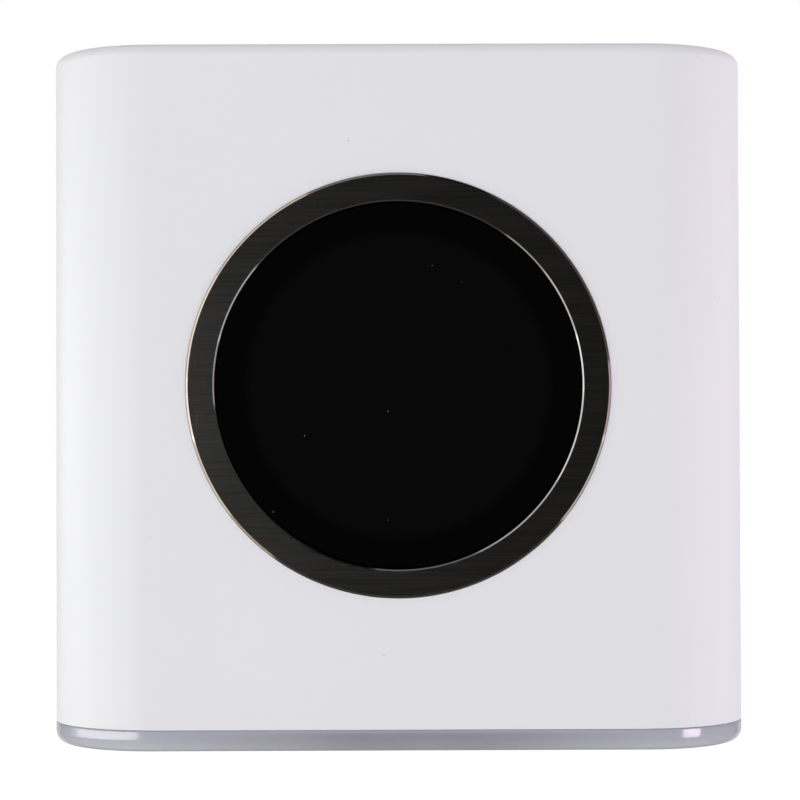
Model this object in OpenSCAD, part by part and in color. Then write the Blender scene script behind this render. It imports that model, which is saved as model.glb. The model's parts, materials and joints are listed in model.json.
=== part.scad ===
// Cube-shaped home network hub: a white shell on a translucent light base, a round touch display
// behind a brushed bezel ring, and network sockets at the rear. Sizes are in millimetres.
// The origin is on the table under the centre of the hub. +Z is up and the display faces -Y.

/* [Body] */
// Width of the shell
body_w = 99.5; // [90:0.1:112]
// Depth of the shell, from its front face to its rear face
body_d = 97.4; // [88:0.1:112]
// Height from the table to the top of the shell
body_h = 99.6; // [90:0.1:115]
// Radius of the upright corners
corner_r = 15.2; // [13:0.1:18]
// Fillet round the top edge
top_fillet = 1.6; // [0.4:0.1:2.2]
// Wall thickness of the shell
wall = 2.4; // [2:0.1:3]
// Radius of the screw posts in the shell's corners
post_r = 3.5; // [3:0.1:4]
// Height of the screw posts
post_h = 20; // [14:0.5:23]
// Thickness of the ribs that tie the posts to the side walls
rib_t = 1.6; // [1:0.1:2.4]

/* [Light base] */
// Height of the translucent strip that shows under the shell
base_h = 3.1; // [2.8:0.1:5]
// Fillet round the lower edge of the strip
base_fillet = 1.8; // [0.2:0.1:2.2]
// Thickness of the upstand that locates the base inside the shell
upstand_t = 1.8; // [1.2:0.1:2.4]
// Height of the upstand above the seam
upstand_h = 3; // [2.4:0.1:4]
// Width of the ledge inside the upstand
ledge_w = 4.6; // [4:0.1:5.5]
// Thickness of the bottom plate
plate_t = 1.8; // [1.5:0.1:2.3]
// Thickness of the light strip's circuit board
strip_t = 1; // [0.6:0.1:1.2]
// Light emitters along each side
leds_per_side = 3; // [2:1:5]
// Size of one light emitter: along the side, across it and up
led_size = [3.2, 1.4, 0.9]; // [0.5:0.1:4]

/* [Feet] */
// Radius of a foot
foot_r = 5; // [4:0.1:5.5]
// Height that the feet stand out of the bottom plate
foot_proud = 0.4; // [0.2:0.1:1.5]
// Depth of the seat that holds a foot
foot_seat = 0.8; // [0.5:0.1:1.1]

/* [Bottom vents] */
// Slots in each of the two vent fields
vent_count = 5; // [3:1:6]
// Width of a vent slot
vent_w = 1.8; // [1.2:0.1:2.4]
// Length of a vent slot
vent_l = 30; // [16:1:36]
// Distance between vent slots
vent_pitch = 3.6; // [3.2:0.1:3.8]
// Middle of a vent field, out from the centre
vent_x = 25; // [23:0.5:26]

/* [Display] */
// Outer diameter of the bezel ring
ring_d = 59.4; // [54:0.1:64]
// Width of the bezel ring's face
ring_w = 3.95; // [3:0.05:5]
// Height of the bezel ring above the shell's front face
ring_proud = 0.4; // [0.2:0.05:0.8]
// Chamfer on the ring's outer edge
ring_chamfer_out = 0.35; // [0.1:0.05:0.5]
// Chamfer on the ring's inner edge
ring_chamfer_in = 0.28; // [0.1:0.02:0.4]
// Depth of the ring's seat in the front wall
seat_depth = 1.2; // [0.8:0.1:1.5]
// Wall of the ring's spigot behind its face
spigot_t = 1.75; // [1.2:0.05:2]
// Length of the spigot behind the front wall
spigot_out = 0.8; // [0.4:0.1:1.5]
// Thickness of the adhesive tape under the ring
tape_t = 0.2; // [0.1:0.05:0.3]
// Depth of the cover glass below the ring's face
glass_recess = 0.25; // [0.1:0.05:0.5]
// Thickness of the cover glass
glass_t = 1.1; // [0.7:0.1:1.5]
// Thickness of the touch film on the back of the glass
film_t = 0.3; // [0.2:0.05:0.5]
// Thickness of the round liquid-crystal panel
lcd_t = 2.4; // [1.8:0.1:3]
// Margin from the edge of the glass to the edge of the panel
lcd_margin = 2.45; // [2.2:0.05:3.5]
// Thickness of the gasket between the glass and the carrier
gasket_t = 0.8; // [0.4:0.1:1]
// Thickness of the carrier's floor and flange
carrier_t = 1.2; // [1:0.1:2]
// Distance of the carrier's screws out from the edge of the ring
carrier_screw_out = 4.3; // [4:0.1:6]
// Radius of the carrier's screw bosses
carrier_boss_r = 3.3; // [2.8:0.1:3.6]
// Height of the standoffs under the display board
standoff_h = 1.8; // [1.2:0.1:3]
// Radius of the standoffs
standoff_r = 2.3; // [2:0.1:2.6]
// Radius of the round display board
display_board_r = 21.8; // [19:0.1:22.5]
// Thickness of the display board
display_board_t = 1.2; // [0.8:0.1:1.6]
// Width of the display's flexible circuits
ribbon_w = 10; // [6:0.5:12]
// Thickness of the flexible circuits
ribbon_t = 0.3; // [0.2:0.05:0.4]
// Bend radius of the ribbon
ribbon_bend = 3; // [2:0.5:5]

/* [Frame] */
// Gap between the deck's edge and the shell
deck_gap = 1; // [0.6:0.1:2]
// Thickness of the deck
deck_t = 2; // [1.6:0.1:3]
// Thickness of the uprights and the tray
frame_t = 2; // [1.6:0.1:2.6]
// Gap between the side antenna boards and the shell
side_gap = 4.05; // [3:0.05:5]
// Gap between the top antenna board and the shell
top_gap = 9.4; // [6:0.1:12]
// Gap between the main board and the antenna tray
tray_gap = 2.5; // [2:0.1:4]
// Front edge of the uprights
upright_front = -20; // [-24:1:-16]
// Width of the tabs that carry the main board
tab_w = 7.5; // [7:0.1:8]
// Height of a tab
tab_h = 8; // [7:0.5:10]
// Depth of a tab, front to back
tab_d = 5; // [4:0.5:7]

/* [Main board] */
// Thickness of the main board
board_t = 1.6; // [1:0.1:2]
// Gap between the edges of the board and the frame
board_gap = 0.5; // [0.3:0.1:1]
// Distance of the board's screws from its side edges
board_screw_in = 3.5; // [3:0.1:4]
// Height of the lower screws above the board's lower edge
board_screw_low = 26.5; // [25:0.5:28]
// Distance of the upper screws below the board's upper edge
board_screw_top = 5; // [4:0.5:6]
// Height of the chips that the heat sink cools
chip_t = 1.2; // [0.8:0.1:1.6]
// Thickness of the thermal pads
pad_t = 0.8; // [0.5:0.1:1.2]

/* [Heat sink] */
// Gap between the heat sink and the frame's tabs
sink_gap = 2.5; // [1.5:0.1:4]
// Gap between the heat sink and the radio shields below it
sink_lift = 3; // [2:0.1:6]
// Distance of the heat sink below the board's upper edge
sink_down = 1.5; // [1:0.1:3]
// Thickness of its base
sink_base = 3; // [2.6:0.1:4]
// Length of its fins
fin_l = 18; // [10:1:22]
// Thickness of a fin
fin_t = 1.2; // [0.8:0.1:1.6]
// Number of fins
fin_count = 12; // [8:1:14]

/* [Rear sockets] */
// Depth of the panel's face below the rear wall
panel_recess = 1.6; // [1.2:0.1:2]
// Thickness of the panel's flange behind the rear wall
flange_t = 1.6; // [1.2:0.1:2]
// Margin from the sockets to the edge of the bay
bay_margin = 2.5; // [2:0.1:2.8]
// Corner radius of the bay
bay_r = 3; // [1:0.1:4]
// Height that the sockets stand out of the panel
jack_proud = 0.3; // [0.1:0.1:0.6]
// Depth of a network socket, from the board to its mouth
jack_depth = 19.4; // [18:0.1:20]
// Height of a network socket
jack_h = 14.2; // [13.5:0.1:15]
// Distance between network sockets in the row, where the screw posts leave room for it
socket_pitch = 14; // [13.8:0.1:14.4]
// Sockets in the lower row
lan_count = 4; // [2:1:4]
// Width of the single upper socket
wan_w = 15.6; // [15:0.1:16]
// Depth of the plug's space in a network socket
cavity_d = 14; // [12:0.5:15]
// Gap between the two rows
row_gap = 2.5; // [2:0.1:3]
// Height of the lower row above the deck
row_up = 3.5; // [3:0.1:5]
// Wall of the two serial sockets' metal shells
sheet_t = 0.35; // [0.25:0.05:0.4]

/* [Reset button] */
// Place of the button across the rear, out from the centre
reset_x = 25; // [24:0.1:26]
// Radius of the button's head
button_r = 1.7; // [1.2:0.1:2]
// Depth of the button's head below the panel
button_sunk = 0.4; // [0.1:0.1:0.8]
// Travel of the button
button_travel = 0.5; // [0.2:0.1:0.8]
// Height of the switch under the button
switch_h = 3.4; // [3:0.1:4]

/* [Speaker] */
// Radius of the speaker
speaker_r = 13.5; // [11:0.5:14]
// Height of the speaker
speaker_h = 7.2; // [6:0.1:7.8]
// Place of the speaker, front to back
speaker_y = -17; // [-18:0.5:-16]
// Thickness of the speaker's gasket
speaker_gasket_t = 0.6; // [0.4:0.1:1]

/* [Antennas] */
// Length of an antenna board
antenna_l = 40; // [32:1:42]
// Width of an antenna board
antenna_w = 15; // [10:0.5:16]
// Thickness of an antenna board
antenna_t = 0.8; // [0.6:0.1:1]
// Height of the pegs' shoulders under the antenna boards
antenna_off = 1; // [0.6:0.1:1.5]
// Diameter of an antenna's coaxial lead
coax_d = 1.2; // [0.8:0.1:1.4]

/* [Fasteners] */
// Radius of the shell and board screws
screw_r = 1.25; // [1:0.05:1.4]
// Radius of their heads
head_r = 2.3; // [2:0.1:2.5]
// Height of their heads
head_h = 1.6; // [1.2:0.1:2]
// Grip of the shell screws in their posts
screw_grip = 8; // [5:0.5:10]
// Radius of the small screws in the display and the heat sink
small_r = 0.9; // [0.7:0.05:1]
// Radius of the small heads
small_head_r = 1.7; // [1.4:0.1:1.9]
// Height of the small heads
small_head_h = 1.1; // [0.8:0.1:1.3]
// Radius of the moulded pegs
peg_r = 1; // [0.8:0.1:1.2]
// Radius of the pegs' formed heads
peg_head_r = 1.6; // [1.4:0.1:1.8]
// Height of the formed heads
peg_head_h = 0.7; // [0.5:0.1:1]

/* [Clearances] */
// Gap round pieces that are seated in each other
fit = 0.15; // [0.1:0.05:0.25]
// Radial gap of screws in their pilot holes and of the button in its guide
slip = 0.05; // [0.03:0.01:0.08]
// Radial gap of screws in plain holes
free_gap = 0.25; // [0.2:0.05:0.35]

/* [Hidden] */
$fn = 64;

// Length by which one moulded feature roots into another
root = 0.5;

// Heights of the stack, from the table upwards
base_z = foot_proud;
seam_z = base_z + base_h;
plate_top = base_z + plate_t;
boss_top = seam_z + upstand_h + root;
deck_top = boss_top + deck_t;
display_z = (seam_z + body_h) / 2;

// Insets from the shell's outer face
upstand_in = wall + fit + upstand_t;
base_in = upstand_in + ledge_w;
boss_r = head_r + free_gap + 1.6;
post_in = max(corner_r, base_in + boss_r + root);
post_x = body_w / 2 - post_in;
post_y = body_d / 2 - post_in;

// The bezel ring and what lies behind it, as radii and as depths below the ring's face
ring_or = ring_d / 2;
ring_ir = ring_or - ring_w;
spigot_or = ring_ir + spigot_t;
glass_r = ring_ir - fit;
lcd_r = glass_r - lcd_margin;
carrier_ir = lcd_r + fit;
carrier_or = ring_ir - fit;
wall_depth = ring_proud + wall;
ring_l = wall_depth + spigot_out;
ring_flange = ring_proud + seat_depth - tape_t;
glass_back = glass_recess + glass_t;
lcd_front = glass_back + film_t;
lcd_back = lcd_front + lcd_t;
carrier_back = max(lcd_back, ring_l + 2 * fit) + carrier_t;
flange_front = carrier_back - carrier_t;
board_front = carrier_back + standoff_h;
board_back = board_front + display_board_t;
carrier_screw_pc = ring_or + carrier_screw_out;
standoff_pc = display_board_r - standoff_r - root;
film_r = carrier_ir + (carrier_or - carrier_ir) / 2;
connector_t = 1.6;
connector_h = 3;
connector_side = 1;
ribbon_drop = 14;
driver_size = 9;
flex_in = 3;
flex_bow = 1;

// The rear sockets and the main board, as places along Y and Z
rear_y = body_d / 2;
panel_y = rear_y - panel_recess;
flange_y = rear_y - wall;
jack_y = panel_y + jack_proud;
board_rear = jack_y - jack_depth;
board_face = board_rear - board_t;
board_z = deck_top + root;
jack_end = 1;
post_room = 2 * (post_x - post_r - fit);
jack_pitch = min(socket_pitch, (post_room - jack_end) / lan_count);
lan_w = lan_count * jack_pitch + jack_end;
lan_z = deck_top + row_up;
wan_z = lan_z + jack_h + row_gap;
row_z = wan_z + jack_h / 2;
wan_x = -1.5 * jack_pitch;
usb_x = -1;
power_x = 15;
bay_w = max(lan_w, 2 * (wan_w / 2 - wan_x)) + 2 * bay_margin;
bay_z0 = lan_z - bay_margin / 2;
bay_z1 = wan_z + jack_h + bay_margin;
flange_side = 3.3;
flange_low = 1;
peg_in = flange_side / 2;
peg_from_end = 5;

// A network socket's mouth: plug body, latch channel and latch nose, each width and height
plug_mouth = [11.9, 6.9];
latch_mouth = [6.5, 1.5];
nose_mouth = [3.4, 1];
mouth_h = plug_mouth[1] + latch_mouth[1] + nose_mouth[1];
contact_pitch = 1.02;
contact_w = 0.45;
contact_t = 0.35;
contact_rise = 0.9;
contact_start = 2;

// The two serial sockets: mouth sizes and lengths
usb_mouth = [12.6, 5.2];
usb_shell_l = 14.3;
usb_tongue = [11.1, 1.9];
usb_tongue_up = 1.25;
usb_wall = 3;
usb_contact_pitch = 2.2;
usb_contact_size = [1.1, 7.5, 0.2];
power_mouth = [8.34, 2.56];
power_shell_l = 9;
power_tongue = [6.7, 0.7];
power_wall = 2;
tongue_short = 0.9;

// The reset button and its switch, as places along Y
switch_w = 6;
switch_stem_r = 1.5;
switch_stem_out = 1.6;
switch_stem_in = 0.8;
collar_r = 2.6;
collar_t = 0.6;
button_stem_r = 1.2;
switch_top = board_rear + switch_h;
switch_end = switch_top + switch_stem_out;
collar_y = flange_y - flange_t - slip;

// The frame's uprights and tray, set in from the shell's walls, and the main board between them
frame_x = body_w / 2 - wall - side_gap - antenna_t - antenna_off;
upright_x = frame_x - frame_t;
board_w = 2 * (upright_x - board_gap);
tray_top = body_h - wall - top_gap - antenna_t - antenna_off;
tray_z = tray_top - frame_t;
board_top = tray_z - tray_gap;
antenna_drop = 4;
antenna_peg_in = 5;
antenna_y = (upright_front + board_rear) / 2;
antenna_z = tray_z - antenna_w / 2 - antenna_drop;
antenna_peg = antenna_l / 2 - antenna_peg_in;
shoulder_r = 2;
window_y = 12;
window_up = 12;
window_z = [board_z + window_up, antenna_z - antenna_w / 2 - antenna_drop];
speaker_edge = 2.5;
sound_r = speaker_r - speaker_edge;
speaker_rim = 1.4;
speaker_rim_h = 2;
speaker_edge_h = 1.6;
basket_h = 4.6;
basket_r = 0.7 * speaker_r;
magnet_r = 0.55 * speaker_r;
cone_dish = 1;
deck_margin = 4.5;
deck_window_in = 6.5;
deck_window_back = 10.4;
deck_window_x = [speaker_r + deck_margin, upright_x - deck_window_in];
deck_window_y = [upright_front - deck_margin, board_face - deck_window_back];
tray_vent = [8, 3];
tray_vent_pitch = 11;
tray_vent_in = 8;
flex_w = 5;
flex_slot = 0.8;
flex_lap = 1.5;

// The parts on the main board: the ones at the front are placed from the heat sink's middle
screw_xs = board_w / 2 - board_screw_in;
screw_zs = [board_z + board_screw_low, board_top - board_screw_top];
shield_size = [20, 2.4, 15];
shield_t = 0.3;
shield_x = 22.5;
shield_up = 10;
shield_z = board_z + shield_up;
shield_at = [for (side = [-1, 1]) [side * shield_x, shield_z]];
sink_w = board_w - 2 * (tab_w + sink_gap);
sink_z = shield_z + shield_size[2] / 2 + sink_lift;
sink_h = board_top - sink_down - sink_z;
sink_back = board_face - chip_t - pad_t;
mid_z = sink_z + sink_h / 2;
processor_size = 17;
processor_up = 11;
processor_at = [0, mid_z + processor_up];
switch_chip_size = 13;
switch_chip_down = 13;
switch_chip_at = [0, mid_z - switch_chip_down];
radio_size = 11;
radio_x = 15.5;
radio_up = 5;
radio_at = [for (side = [-1, 1]) [side * radio_x, mid_z + radio_up]];
memory_size = [8, 1, 12];
memory_x = 13;
memory_down = 14;
memory_at = [for (side = [-1, 1]) [side * memory_x, mid_z - memory_down]];
magnetics_size = [15, 4, 9];
magnetics_pitch = 19;
magnetics_up = 21;
magnetics_z = row_z + magnetics_up;
magnetics_at = [for (i = [-1:1]) [i * magnetics_pitch, magnetics_z]];
coil_z = (magnetics_z + magnetics_size[2] / 2 + board_top) / 2;
capacitor_r = 3.15;
capacitor_h = 6;
capacitor_x = 4;
capacitor_pitch = 7.4;
capacitor_at = [for (i = [0:2]) [capacitor_x + i * capacitor_pitch, coil_z]];
inductor_size = [6.5, 3.5, 6.5];
inductor_pitch = 9;
inductor_at = [for (i = [1:2]) [-i * inductor_pitch, coil_z]];
leg_r = 3;
sink_screw_in = 4;
sink_screw_low = 3.8;
sink_screw_top = 3.5;
sink_screw_x = sink_w / 2 - sink_screw_in;
sink_screw_z = [magnetics_z - magnetics_size[2] / 2 - sink_screw_low, sink_z + sink_h - sink_screw_top];
ribbon_up = 9.5;
ribbon_z = board_z + ribbon_up;
plug_up = 3;
light_plug_z = board_z + plug_up;
speaker_plug_x = 8.5;
plug_w = 6;
coax_plug_r = 1.5;
coax_plug_t = 1.6;
coax_in = 4.5;
coax_top_down = 11.5;
coax_right_down = 19.5;
coax_left_down = 23.5;
coax_x = board_w / 2 - coax_in;
coax_top_z = board_top - coax_top_down;
coax_right_z = board_top - coax_right_down;
coax_left_z = board_top - coax_left_down;
coax_plug_at = [[coax_x, coax_right_z], [-coax_x, coax_left_z], [-coax_x, coax_top_z]];
tray_slot = [6, 12];
tray_slot_in = 10;
tray_slot_x = coax_x - root;
tray_slot_y = board_rear - tray_slot_in;

// Routes of the leads that run inside the shell: out of a plug, then to an antenna or the speaker
lead_gap = 0.1;
lead_out = 3.6;
lead_sag = 3;
lead_rise = 1.5;
lead_swing = 10;
lead_cross = 4;
plug_y = board_face - coax_plug_t - 2 * lead_gap;
turn_y = plug_y - lead_out;
side_x = frame_x + antenna_off + antenna_t + coax_d / 2 + lead_gap;
over_z = tray_top + antenna_off + antenna_t + coax_d / 2 + lead_gap;
sill_z = window_z[1];
side_end = antenna_z - antenna_drop;
right_lead = [
    [coax_x, plug_y, coax_right_z],
    [coax_x, turn_y, coax_right_z],
    [coax_x + coax_in / 2, antenna_y + lead_swing, sill_z - lead_sag],
    [upright_x + lead_rise, antenna_y + lead_cross, sill_z - 2 * lead_sag],
    [side_x, antenna_y, sill_z - lead_sag],
    [side_x, antenna_y, side_end]
];
left_lead = [
    [-coax_x, plug_y, coax_left_z],
    [-coax_x, turn_y, coax_left_z],
    [-coax_x - coax_in / 2, antenna_y + lead_swing, sill_z - 2 * lead_sag],
    [-upright_x - lead_rise, antenna_y + lead_cross, sill_z - 2 * lead_sag],
    [-side_x, antenna_y, sill_z - lead_sag],
    [-side_x, antenna_y, side_end]
];
top_lead = [
    [-coax_x, plug_y, coax_top_z],
    [-coax_x, turn_y, coax_top_z],
    [-tray_slot_x, tray_slot_y, tray_z - 2 * lead_sag],
    [-tray_slot_x, tray_slot_y - lead_gap, tray_top],
    [-tray_slot_x + lead_sag, tray_slot_y - lead_cross, over_z],
    [-antenna_peg - lead_sag, antenna_y + lead_sag, over_z]
];
speaker_lead_route = [
    [speaker_plug_x, speaker_y + speaker_r, deck_top + lead_rise],
    [speaker_plug_x + lead_sag, speaker_y + speaker_r + 2 * lead_sag, deck_top + lead_rise],
    [speaker_plug_x + lead_sag, board_face - lead_swing, deck_top + lead_rise],
    [speaker_plug_x, board_face - connector_t - lead_cross, light_plug_z],
    [speaker_plug_x, board_face - connector_t - 2 * lead_gap, light_plug_z]
];
lead_sides = 8;
lead_steps = 3;
speaker_lead_d = 1.4;

// A box between two limits along each axis
module slab(x, y, z) {
    translate([x[0], y[0], z[0]])
        cube([x[1] - x[0], y[1] - y[0], z[1] - z[0]]);
}

// A box on a face of the main board: its middle across and up, the face and the way that it stands out
module on_board(at, size, face, out) {
    y = out > 0 ? [face, face + size[1]] : [face - size[1], face];
    slab([at[0] - size[0] / 2, at[0] + size[0] / 2], y, [at[1] - size[2] / 2, at[1] + size[2] / 2]);
}

// The plan of the shell, drawn in by an inset
module plan(inset) {
    w = body_w - 2 * inset;
    d = body_d - 2 * inset;
    round_rect(w, d, max(corner_r - inset, root));
}

module round_rect(w, d, r) {
    square([w, d - 2 * r], center = true);
    square([w - 2 * r, d], center = true);
    for (x = [-1, 1], y = [-1, 1])
        translate([x * (w / 2 - r), y * (d / 2 - r)])
            circle(r);
}

// A slot or stadium that is w long and h wide
module stadium(w, h) {
    square([w - h, h], center = true);
    for (x = [-1, 1])
        translate([x * (w - h) / 2, 0])
            circle(h / 2);
}

module prism(inset, z0, z1) {
    translate([0, 0, z0])
        linear_extrude(z1 - z0)
            plan(inset);
}

module prism_ring(outer, inner, z0, z1) {
    difference() {
        prism(outer, z0, z1);
        prism(inner, z0 - root, z1 + root);
    }
}

// The shell's plan as a block of height h with a fillet round its top edge
module filleted_block(h, fillet) {
    cx = body_w / 2 - corner_r;
    cy = body_d / 2 - corner_r;
    slab([-cx, cx], [-cy, cy], [0, h]);
    for (mx = [0, 1], my = [0, 1])
        mirror([mx, 0, 0])
            mirror([0, my, 0])
                translate([cx, cy, 0])
                    rotate_extrude(angle = 90)
                        edge_profile(h, fillet);
    for (my = [0, 1])
        mirror([0, my, 0])
            translate([-cx, cy, 0])
                rotate([90, 0, 90])
                    linear_extrude(2 * cx)
                        edge_profile(h, fillet);
    for (mx = [0, 1])
        mirror([mx, 0, 0])
            translate([cx, cy, 0])
                rotate([90, 0, 0])
                    linear_extrude(2 * cy)
                        edge_profile(h, fillet);
}

module edge_profile(h, fillet) {
    square([corner_r, h - fillet]);
    square([corner_r - fillet, h]);
    translate([corner_r - fillet, h - fillet])
        intersection() {
            circle(fillet);
            square(fillet);
        }
}

// Puts a shape on the display's axis: its own Z runs inwards from the ring's face
module at_display(depth = 0) {
    translate([0, -body_d / 2 - ring_proud + depth, display_z])
        rotate([-90, 0, 0])
            children();
}

// Puts a shape on an axis that runs forwards from a place at the rear
module from_rear(y, x, z) {
    translate([x, y, z])
        rotate([90, 0, 0])
            children();
}

module at_posts() {
    for (x = [-1, 1], y = [-1, 1])
        translate([x * post_x, y * post_y, 0])
            children();
}

module at_carrier_screws(depth) {
    for (a = [45:90:315])
        at_display(depth)
            rotate([0, 0, a])
                translate([carrier_screw_pc, 0, 0])
                    children();
}

module at_standoffs(depth) {
    for (a = [30:120:270])
        at_display(depth)
            rotate([0, 0, a])
                translate([standoff_pc, 0, 0])
                    children();
}

module at_board_screws(y) {
    for (x = [-1, 1], z = screw_zs)
        from_rear(y, x * screw_xs, z)
            children();
}

module at_sink_screws(y) {
    for (x = [-1, 1], z = sink_screw_z)
        from_rear(y, x * sink_screw_x, z)
            children();
}

module at_panel_pegs(y) {
    for (x = [-1, 1], z = [bay_z0 + peg_from_end, bay_z1 - peg_from_end])
        from_rear(y, x * (bay_w / 2 + peg_in), z)
            children();
}

module tube(outer, inner, h) {
    difference() {
        cylinder(r = outer, h = h);
        translate([0, 0, -root])
            cylinder(r = inner, h = h + 2 * root);
    }
}

// A screw: the head stands below the origin and the shank runs up from it
module screw(r, length, hr, hh) {
    cylinder(r = r, h = length);
    translate([0, 0, -hh])
        cylinder(r = hr, h = hh);
}

// A moulded peg with a shoulder and a formed head over a plate of thickness t
module peg(shoulder, t) {
    if (shoulder > 0)
        cylinder(r = shoulder_r, h = shoulder);
    cylinder(r = peg_r, h = shoulder + t + peg_head_h);
    translate([0, 0, shoulder + t])
        cylinder(r = peg_head_r, h = peg_head_h);
}

// A round lead swept along a smooth curve through its route
function curve_point(p, i, t) =
    let (a = p[max(i - 1, 0)], b = p[i], c = p[i + 1], d = p[min(i + 2, len(p) - 1)])
    (2 * b + (c - a) * t + (2 * a - 5 * b + 4 * c - d) * t * t + (3 * b - a - 3 * c + d) * t * t * t) / 2;

function curve(p) = [
    for (i = [0:len(p) - 2], s = [0:lead_steps - 1]) curve_point(p, i, s / lead_steps),
    p[len(p) - 1]
];

function unit(v) = v / norm(v);

function tangents(c) = [for (i = [0:len(c) - 1]) unit(c[min(i + 1, len(c) - 1)] - c[max(i - 1, 0)])];

// Side vectors that turn as little as they can from ring to ring
function sides(t) = [
    for (i = 0, n = unit(cross(t[0], [0.3, 0.2, 1])); i < len(t);
        i = i + 1, n = i < len(t) ? unit(n - (n * t[i]) * t[i]) : n) n
];

module lead(route, d) {
    c = curve(route);
    t = tangents(c);
    n = sides(t);
    k = lead_sides;
    points = [
        for (i = [0:len(c) - 1], s = [0:k - 1])
            c[i] + d / 2 * (cos(360 * s / k) * n[i] + sin(360 * s / k) * cross(t[i], n[i]))
    ];
    walls = [
        for (i = [0:len(c) - 2], s = [0:k - 1], half = [0, 1])
            let (a = i * k + s, b = i * k + (s + 1) % k)
            half == 0 ? [a, b + k, b] : [a, a + k, b + k]
    ];
    first = [for (s = [1:k - 2]) [0, s, s + 1]];
    e = (len(c) - 1) * k;
    last = [for (s = [1:k - 2]) [e, e + s + 1, e + s]];
    polyhedron(points, concat(walls, first, last));
}

module outer_shell() {
    color("white")
        difference() {
            union() {
                difference() {
                    translate([0, 0, seam_z])
                        filleted_block(body_h - seam_z, top_fillet);
                    prism(wall, seam_z - root, body_h - wall);
                }
                for (x = [0, 1])
                    mirror([x, 0, 0])
                        for (y = [-1, 1])
                            slab([post_x, body_w / 2 - wall + root],
                                 [y * post_y - rib_t / 2, y * post_y + rib_t / 2],
                                 [deck_top, deck_top + post_h]);
                at_posts()
                    translate([0, 0, deck_top])
                        cylinder(r = post_r, h = post_h);
                at_carrier_screws(wall_depth - root)
                    cylinder(r = carrier_boss_r, h = flange_front - wall_depth + root);
                at_panel_pegs(flange_y + root)
                    translate([0, 0, root])
                        peg(0, flange_t);
                at_panel_pegs(flange_y + root)
                    cylinder(r = peg_r, h = root);
            }
            at_posts()
                translate([0, 0, deck_top - root])
                    cylinder(r = screw_r + slip, h = screw_grip + 2 * root);
            at_carrier_screws(ring_proud + wall / 2)
                cylinder(r = small_r + slip, h = flange_front);
            at_display(ring_proud - root)
                cylinder(r = ring_or + fit, h = seat_depth + root);
            at_display(ring_proud)
                cylinder(r = spigot_or + fit, h = wall + root);
            bay(0, flange_y - root, rear_y + root);
        }
}

// The bay in the rear wall, drawn in by an inset, between two places along Y
module bay(inset, y0, y1) {
    from_rear(y1, 0, (bay_z0 + bay_z1) / 2)
        linear_extrude(y1 - y0)
            round_rect(bay_w - 2 * inset, bay_z1 - bay_z0 - 2 * inset, bay_r);
}

module light_base() {
    color("gainsboro")
        difference() {
            union() {
                translate([0, 0, seam_z])
                    mirror([0, 0, 1])
                        filleted_block(base_h, base_fillet);
                prism_ring(wall + fit, upstand_in, seam_z, seam_z + upstand_h);
            }
            prism(upstand_in, base_z - root, plate_top);
            prism(base_in, base_z, seam_z + root);
        }
}

module bottom_plate() {
    color("whitesmoke")
        difference() {
            union() {
                prism(upstand_in + fit, base_z, plate_top);
                at_posts()
                    translate([0, 0, base_z])
                        cylinder(r = boss_r, h = boss_top - base_z);
            }
            at_posts() {
                cylinder(r = foot_r + fit, h = base_z + foot_seat);
                cylinder(r = head_r + free_gap, h = base_z + foot_seat + fit + head_h);
                cylinder(r = screw_r + free_gap, h = boss_top + root);
            }
            for (side = [-1, 1], i = [0:vent_count - 1])
                translate([side * vent_x + (i - (vent_count - 1) / 2) * vent_pitch, 0, 0])
                    linear_extrude(plate_top + root)
                        rotate([0, 0, 90])
                            stadium(vent_l, vent_w);
            for (i = [-2:2])
                translate([i * vent_pitch, speaker_y, 0])
                    linear_extrude(plate_top + root)
                        rotate([0, 0, 90])
                            stadium(2 * sqrt(pow(sound_r - vent_w / 2, 2) - pow(i * vent_pitch, 2)), vent_w);
        }
}

module rubber_feet() {
    color("dimgray")
        at_posts()
            cylinder(r = foot_r, h = base_z + foot_seat);
}

module shell_screws() {
    color("silver")
        at_posts()
            translate([0, 0, base_z + foot_seat + fit + head_h])
                screw(screw_r, deck_top + screw_grip - (base_z + foot_seat + fit + head_h), head_r, head_h);
}

module bezel_ring() {
    color("#3a3a3e")
        at_display()
            rotate_extrude()
                polygon([
                    [ring_ir + ring_chamfer_in, 0],
                    [ring_or - ring_chamfer_out, 0],
                    [ring_or, ring_chamfer_out],
                    [ring_or, ring_flange],
                    [spigot_or, ring_flange],
                    [spigot_or, ring_l],
                    [ring_ir, ring_l],
                    [ring_ir, ring_chamfer_in]
                ]);
}

module bezel_tape() {
    color("black")
        at_display(ring_flange)
            tube(ring_or - fit, spigot_or + 2 * fit, tape_t);
}

module display_glass() {
    color("#0a0a0c")
        at_display(glass_recess)
            cylinder(r = glass_r, h = glass_t);
}

module touch_film() {
    color("#1c1c24")
        at_display(glass_back)
            cylinder(r = film_r - fit, h = film_t);
}

module lcd_panel() {
    color("#202028")
        at_display(lcd_front)
            cylinder(r = lcd_r, h = lcd_t);
}

module glass_gasket() {
    color("#303030")
        at_display(glass_back)
            tube(carrier_or, film_r, gasket_t);
}

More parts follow.
